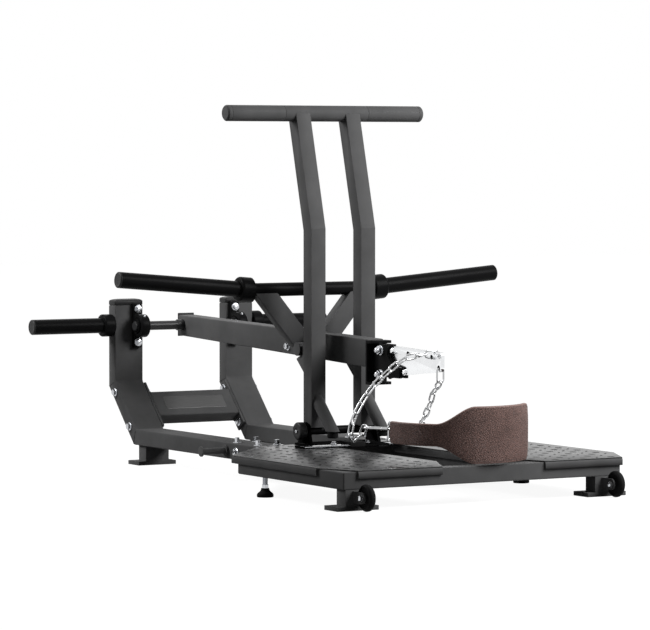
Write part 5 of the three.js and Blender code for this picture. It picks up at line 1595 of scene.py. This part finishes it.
class BuildSling(bpy.types.Operator):
    """Chains link by link, the two snap hooks with their gates, and the rings in the belt's ends."""

    bl_idname = "belt_squat.sling"
    bl_label = "Chains, snap hooks and rings"

    ring_rise = 8
    # From each ring's end to the crown of its snap hook
    left_hook = Vector((-48, 56, 7))
    right_hook = Vector((-62, 26, -10))
    hook_wide, ring_wide, ring_corner = 26, 48, 9
    # The gate's two sleeves, as shares of the hook's length, and its rivet
    gate_sleeves, gate_off = ((0.26, 0.3), (0.74, 0.78)), 13
    pin_reach, pin_radius, pin_corner = 1.35, 1.2, 0.4
    # Along the wire and shares of its radius: the butt weld in the middle of a link's side
    weld_swell = (
        (-2.2, 0.9), (-1.4, 1.02, 0.5), (-0.6, 1.1, 0.5), (0.6, 1.1, 0.5), (1.4, 1.02, 0.5), (2.2, 0.9),
    )

    def execute(self, context):
        (level_y, _), (low_y, low_z) = tongue_holes()[2:]
        wire = settings().sling.wire / MM
        level = tongue_top(level_y) + WIRE_GAP - TOP_LINK_WIDE / 2
        left_from = Vector((TONGUE_HALF + TOP_LINK_WIDE / 2 + WIRE_GAP, level_y, level))
        left_to = left_from - ACROSS * TOP_LINK_LONG
        right_from, right_to = (Vector((0, low_y, low_z - wire - down)) for down in (WIRE_GAP, TOP_LINK_LONG))
        hooks, rings = [], []
        for side, angle, way, top_from, top_to, bow, bends, hook in (
            ("left", BELT_LEFT, -1, left_from, left_to, UPWARD - ACROSS, LEFT_BOW, self.left_hook),
            ("right", BELT_RIGHT, 1, right_from, right_to, REARWARD - ACROSS - UPWARD, RIGHT_BOW, self.right_hook),
        ):
            ring_end = beyond_belt(angle, way, RING_BEYOND) + UPWARD * self.ring_rise
            chain_end = ring_end + hook
            points = chain_way(top_to, chain_end, bow, bends)
            last_run = self.chain(side, top_from, top_to, points, ring_end, wire)
            hooks.append((side, chain_end, last_run, ring_end, onward_at(angle, way)))
            rings.append((side, angle, way))
        for hook in hooks:
            self.snap_hook(*hook)
        for ring in rings:
            self.ring(*ring)
        return {"FINISHED"}

    def chain(self, side, top_from, top_to, points, ring_end, wire):
        """Links that turn a quarter round one after another and share out the twist that is left."""
        places = spaced(points, LINK_LONG)
        runs = [(b - a).normalized() for a, b in zip(places, places[1:])]
        normals = []
        for run in runs:
            normals.append(quarter_turn(run, normals[-1] if normals else REARWARD))
        wanted = quarter_turn(ring_end - places[-1], UPWARD)
        last = normals[-1]
        twist_left = math.atan2(wanted.dot(quarter_turn(runs[-1], last)), wanted.dot(last))
        if abs(twist_left) > math.pi / 2:
            twist_left -= math.copysign(math.pi, twist_left)
        bm = bmesh.new()
        wire_loop(bm, top_from, top_to, wire, TOP_LINK_WIDE, TOP_LINK_WIDE, REARWARD, -LINK_SINK)
        for i, run in enumerate(runs):
            normal = Quaternion(run, twist_left * (i + 1) / len(runs)) @ normals[i]
            path = wire_loop(bm, places[i], places[i + 1], wire, LINK_WIDE, LINK_WIDE, normal, -LINK_SINK)
            longest = max(range(len(path)), key=lambda k: (path[k] - path[k - 1]).length)
            start, end = path[longest - 1], path[longest]
            swell = [(along, share_of * wire, *rest) for along, share_of, *rest in self.weld_swell]
            turned(bm, swell, frame_along((start + end) / 2, end - start), 14, 2)
        new_piece(f"{side}_chain_links", bm, "arm", "shaded_chain_chrome", [f"{side}_chain"], 60)
        return runs[-1]

    def snap_hook(self, side, chain_end, chain_run, ring_end, ring_run):
        sling = settings().sling
        hook, ring, wire = sling.hook_wire / MM, sling.ring_wire / MM, sling.wire / MM
        post = ring_end + ring_run * ring
        tilt = abs(quarter_turn(chain_end - post, UPWARD).dot(chain_run))
        drop = (hook + wire * tilt) / math.sqrt(1 - tilt ** 2) + WIRE_GAP + LINK_SINK / 2
        crown = chain_end - chain_run * drop
        along = (crown - post).normalized()
        start, end = post - along * (ring + WIRE_GAP), crown - along * hook
        bm = bmesh.new()
        wire_loop(bm, start, end, hook, self.hook_wide, self.hook_wide, UPWARD, 0.0, 18, 12)
        over = UPWARD.cross(along) * (self.gate_off + hook)
        for parts in self.gate_sleeves:
            a, b = (at(*(start.lerp(end, part) + over)) for part in parts)
            long = (b - a).length / MM
            turned(bm, [
                (0, hook * 0.95), (0, hook * 1.16, 0.4), (long, hook * 1.16, 0.4), (long, hook * 0.95),
            ], frame_along(a, b - a), 28)
        pin = at(*(start.lerp(end, sum(self.gate_sleeves[0]) / 2) + over))
        reach = UPWARD * hook * self.pin_reach * MM
        rod(bm, pin - reach, pin + reach, self.pin_radius, self.pin_corner, 20)
        new_piece(f"{side}_carbine", bm, "arm", "shaded_chain_chrome", [f"{side}_snap_hook"], 50)

    def ring(self, side, angle, way):
        inner, outer = beyond_belt(angle, way, -RING_IN_BELT), beyond_belt(angle, way, RING_BEYOND)
        bm = bmesh.new()
        wire_loop(
            bm, inner, outer, settings().sling.ring_wire / MM, self.ring_wide, self.ring_corner,
            quarter_turn(outer - inner, UPWARD), 0.0, 16,
        )
        new_piece(f"{side}_belt_loop", bm, "arm", "shaded_chain_chrome", [f"belt_{side}_ring"], 60)


def smooth_step(value, low, high):
    t = min(1, max(0, (value - low) / (high - low)))
    return t * t * (3 - 2 * t)


def belt_shape(angle):
    """Height, thickness and crown of the belt at an angle round its centre, in millimetres."""
    part = smooth_step(abs(angle - PAD_ANGLE), PAD_HALF, STRAP_FROM)
    return (
        PAD_HIGH + (STRAP_HIGH - PAD_HIGH) * part, PAD_THICK + (STRAP_THICK - PAD_THICK) * part,
        PAD_CROWN * (1 - part),
    )


def belt_wave(angle):
    """How far worn leather waves out of its even curve, in millimetres."""
    a = math.radians(angle)
    return 0.5 * math.sin(9 * a) + 0.35 * math.sin(23 * a + 1)


class BuildBelt(bpy.types.Operator):
    """Padded leather belt: pebbled faces, burnished edges and rows of stitches."""

    bl_idname = "belt_squat.belt"
    bl_label = "Belt"

    steps, face_points, edge_points = 220, 15, 7
    edge_round = 3.5
    wave_outside, wave_inside = 0.5, 0.3
    # The dip along each row of stitches: its depth and width, and its inset in shares of that width
    seam_deep, seam_wide, seam_inset = 0.5, 4, 0.6
    # Where the belt's ends are rounded off: over what length, how much lower there and how much thinner
    end_round, end_lower, end_thinner = 10, 1.6, 2.4
    stitch_from_end = 3
    stitch_sides, stitch_radius = 6, 0.48
    # Share of a stitch's length, and how far it stands out of the leather there
    stitch_rise = ((0, -0.45), (0.2, 0.05), (0.5, 0.15), (0.8, 0.05), (1, -0.45))

    def execute(self, context):
        bm = bmesh.new()
        rings = []
        turn = BELT_RIGHT - BELT_LEFT
        for i in range(self.steps + 1):
            angle = BELT_LEFT + turn * i / self.steps
            end = min(i, self.steps - i) / self.steps * math.radians(turn) * BELT_RADIUS
            rings.append([bm.verts.new(at(*on_belt(angle, out, up))) for out, up in self.section(angle, end)])
        skin(bm, rings)
        around, face, edge = len(rings[0]), self.face_points, self.edge_points
        on_edge = {k % around for k in (*range(face - 1, face + edge), *range(2 * face + edge - 1, around + 1))}
        place_of = {vert: k for ring in rings for k, vert in enumerate(ring)}
        for polygon in bm.faces:
            if len(polygon.verts) > 4 or all(place_of[v] in on_edge for v in polygon.verts):
                polygon.material_index = 1
        belt = new_piece("waist_belt", bm, "arm", "brown_leather", ["belt"], 50, ["leather_edge"])
        self.stitches()
        return {"FINISHED"}

    def section(self, angle, end):
        """One cross section as (out, up) pairs: outer face upwards, top edge, inner face down, bottom edge."""
        high, thick, crown = belt_shape(angle)
        if end < self.end_round:
            left = self.end_round - end
            high -= self.end_lower * (self.end_round - math.sqrt(max(0, self.end_round ** 2 - left ** 2)))
            thick -= self.end_thinner * left / self.end_round
        flat_half, thin, last = high / 2 - self.edge_round, thick / 2, self.face_points - 1
        outer, inner, edge = [], [], []
        for k in range(self.face_points):
            up = -flat_half + 2 * flat_half * k / last
            dip = self.seam_deep * math.exp(-((flat_half - abs(up)) / self.seam_wide - self.seam_inset) ** 2)
            outer.append((self.outer_face(angle, up, high, thick, crown) - dip, up))
            inner.append((-thin + belt_wave(angle) * self.wave_inside * (1 - (up / flat_half) ** 2), -up))
        for k in range(1, self.edge_points):
            a = math.pi * k / self.edge_points
            edge.append((thin * math.cos(a), flat_half + self.edge_round * math.sin(a)))
        return [*outer, *edge, *inner, *((-out, -up) for out, up in edge)]

    def outer_face(self, angle, up, high, thick, crown):
        """How far the outer face lies beyond the belt's middle line."""
        swell = 1 - min(1, abs(up) / (high / 2 - self.edge_round)) ** 4
        return thick / 2 + (crown + belt_wave(angle) * self.wave_outside) * swell

    def stitches(self):
        look = settings().belt
        inset, long, gap = look.stitch_inset / MM, look.stitch / MM, look.stitch_gap / MM
        step = math.degrees((long + gap) / BELT_RADIUS)
        bm = bmesh.new()
        for way in (-1, 1):
            angle = BELT_LEFT + self.stitch_from_end
            while angle < BELT_RIGHT - self.stitch_from_end:
                points = []
                for part, rise in self.stitch_rise:
                    here = angle + step * part * long / (long + gap)
                    shape = belt_shape(here)
                    up = way * (shape[0] / 2 - inset)
                    points.append(at(*on_belt(here, self.outer_face(here, up, *shape) + rise, up)))
                swept(bm, points, self.stitch_radius * MM, self.stitch_sides, False)
                angle += step
        new_piece("belt_stitches", bm, "arm", "belt_thread", smooth_angle=60)


# Stage


def seen_or_mirrored(tree):
    """1 where the camera, a mirror or a glass looks at the background, and 0 for the light that falls on things."""
    rays = tree.nodes.new("ShaderNodeLightPath").outputs
    found = rays["Is Camera Ray"]
    for ray in ("Is Glossy Ray", "Is Transmission Ray"):
        found = add_node(tree, "ShaderNodeMath", found, rays[ray], operation="MAXIMUM").outputs[0]
    return found


class BuildStage(bpy.types.Operator):
    """White floor and surroundings, soft lamps and the camera."""

    bl_idname = "belt_squat.stage"
    bl_label = "Stage"

    # Name, place and size in metres, and power in watts
    lamps = (
        ("key_lamp", (1.7, -2.3, 2.3), 2.1, 148), ("left_lamp", (-2.0, 1.5, 2.0), 1.2, 62),
        ("rear_lamp", (0.9, 4.0, 3.2), 2.4, 22),
    )
    lamp_target = (0, 0, 0.4)
    camera_place = (-5.7169, -9.68475, 1.0153)
    camera_down, camera_turn = 2.553, -30.53

    def execute(self, context):
        scene = context.scene
        look = settings().stage
        scene.view_settings.view_transform = "Standard"
        self.floor(scene, look.floor)
        self.room(scene, look.fill)
        for name, place, size, power in self.lamps:
            self.lamp(scene, name, place, size, look.key * power)
        self.camera(scene, look.lens)
        return {"FINISHED"}

    def floor(self, scene, side):
        """A floor that holds the machine's shadow, and glows white where it is looked at."""
        material, tree, shader = node_tree("white_floor")
        where = object_coordinates(tree)
        faint = ramp(tree, textured(tree, where, noise(0.4, 2)), [(0.0, 0.17), (1.0, 0.2)])
        tree.links.new(faint, shader.inputs["Base Color"])
        shader.inputs["Roughness"].default_value = 0.9
        shader.inputs["Specular IOR Level"].default_value = 0.0
        away = add_node(tree, "ShaderNodeVectorMath", where, operation="LENGTH")
        reach = add_node(
            tree, "ShaderNodeMapRange", away.outputs["Value"], from_min=2.0, from_max=6.0, to_min=0.93, to_max=1.0,
        )
        part = add_node(tree, "ShaderNodeMath", seen_or_mirrored(tree), reach.outputs[0], operation="MULTIPLY")
        glow = add_node(tree, "ShaderNodeEmission", color=(1, 1, 1, 1))
        tree.links.new(part.outputs[0], glow.inputs["Strength"])
        both = add_node(tree, "ShaderNodeAddShader", shader.outputs[0], glow.outputs[0])
        tree.links.new(both.outputs[0], tree.nodes["Material Output"].inputs["Surface"])
        bm = bmesh.new()
        bmesh.ops.create_grid(bm, x_segments=4, y_segments=4, size=side / 2)
        mesh = bpy.data.meshes.new("floor")
        bm.to_mesh(mesh)
        bm.free()
        mesh.materials.append(material)
        floor = bpy.data.objects.new("floor", mesh)
        floor.location.z = -0.5 * MM
        scene.collection.objects.link(floor)

    def room(self, scene, fill):
        """White where it is looked at, and a soft light for all the rest."""
        scene.world = bpy.data.worlds.new("white_room")
        scene.world.use_nodes = True
        tree = scene.world.node_tree
        tree.nodes.clear()
        soft, white = (
            add_node(tree, "ShaderNodeBackground", color=(1, 1, 1, 1), strength=strength).outputs[0]
            for strength in (fill, 1.0)
        )
        either = add_node(tree, "ShaderNodeMixShader", seen_or_mirrored(tree), soft, white)
        add_node(tree, "ShaderNodeOutputWorld", either.outputs[0])

    def lamp(self, scene, name, place, size, power):
        lamp = bpy.data.lights.new(name, "AREA")
        lamp.energy = power
        lamp.shape = "DISK"
        lamp.size = size
        holder = bpy.data.objects.new(name, lamp)
        holder.location = place
        holder.rotation_euler = (Vector(self.lamp_target) - Vector(place)).to_track_quat("-Z", "Y").to_euler()
        scene.collection.objects.link(holder)

    def camera(self, scene, lens):
        camera = bpy.data.cameras.new("camera")
        camera.lens = lens
        camera.sensor_width = 36
        camera.clip_end = 100
        holder = bpy.data.objects.new("camera", camera)
        holder.location = self.camera_place
        holder.rotation_euler = (math.radians(90 - self.camera_down), 0, math.radians(self.camera_turn))
        scene.collection.objects.link(holder)
        scene.camera = holder


STEPS = (
    FinishPlatform, BuildTreads, BuildFeet, BuildSideFrames, BuildCrossmember, BuildPegsAndHorns, BuildBearings,
    BuildHandleBase, BuildHandle, BuildArm, BuildBracket, BuildSling, BuildBelt, BuildStage,
)


class BeltSquatSettings(bpy.types.PropertyGroup):
    finish: bpy.props.PointerProperty(name="Finishes", description="Colours of the finishes", type=FinishSettings)
    tube: bpy.props.PointerProperty(name="Tubes", description="Corners and welds", type=TubeSettings)
    tread: bpy.props.PointerProperty(name="Treads", description="Raised pattern of the plates", type=TreadSettings)
    bolt: bpy.props.PointerProperty(name="Bolts", description="Hex heads and washers", type=BoltSettings)
    sling: bpy.props.PointerProperty(name="Sling", description="Wires of the chains and hooks", type=SlingSettings)
    belt: bpy.props.PointerProperty(name="Belt", description="Stitches and grain", type=BeltSettings)
    stage: bpy.props.PointerProperty(name="Stage", description="Floor, lamps and camera", type=StageSettings)


class BeltSquatPanel(bpy.types.Panel):
    """The machine's sizes and colours, and the steps that build it."""

    bl_idname = "VIEW3D_PT_belt_squat"
    bl_label = "Belt squat machine"
    bl_space_type = "VIEW_3D"
    bl_region_type = "UI"
    bl_category = "Belt Squat"

    def draw(self, context):
        for group_name in BeltSquatSettings.__annotations__:
            group, box = getattr(context.scene.belt_squat, group_name), self.layout.box()
            for name in group.__annotations__:
                box.prop(group, name)
        for step in STEPS:
            self.layout.operator(step.bl_idname)


CLASSES = (
    FinishSettings, TubeSettings, TreadSettings, BoltSettings, SlingSettings, BeltSettings, StageSettings,
    BeltSquatSettings, *STEPS, BeltSquatPanel,
)


def register():
    for kind in CLASSES:
        bpy.utils.register_class(kind)
    bpy.types.Scene.belt_squat = bpy.props.PointerProperty(type=BeltSquatSettings)


def unregister():
    del bpy.types.Scene.belt_squat
    for kind in reversed(CLASSES):
        bpy.utils.unregister_class(kind)


def main():
    register()
    for step in STEPS:
        group, name = step.bl_idname.split(".")
        getattr(getattr(bpy.ops, group), name)()


if __name__ == "__main__":
    main()
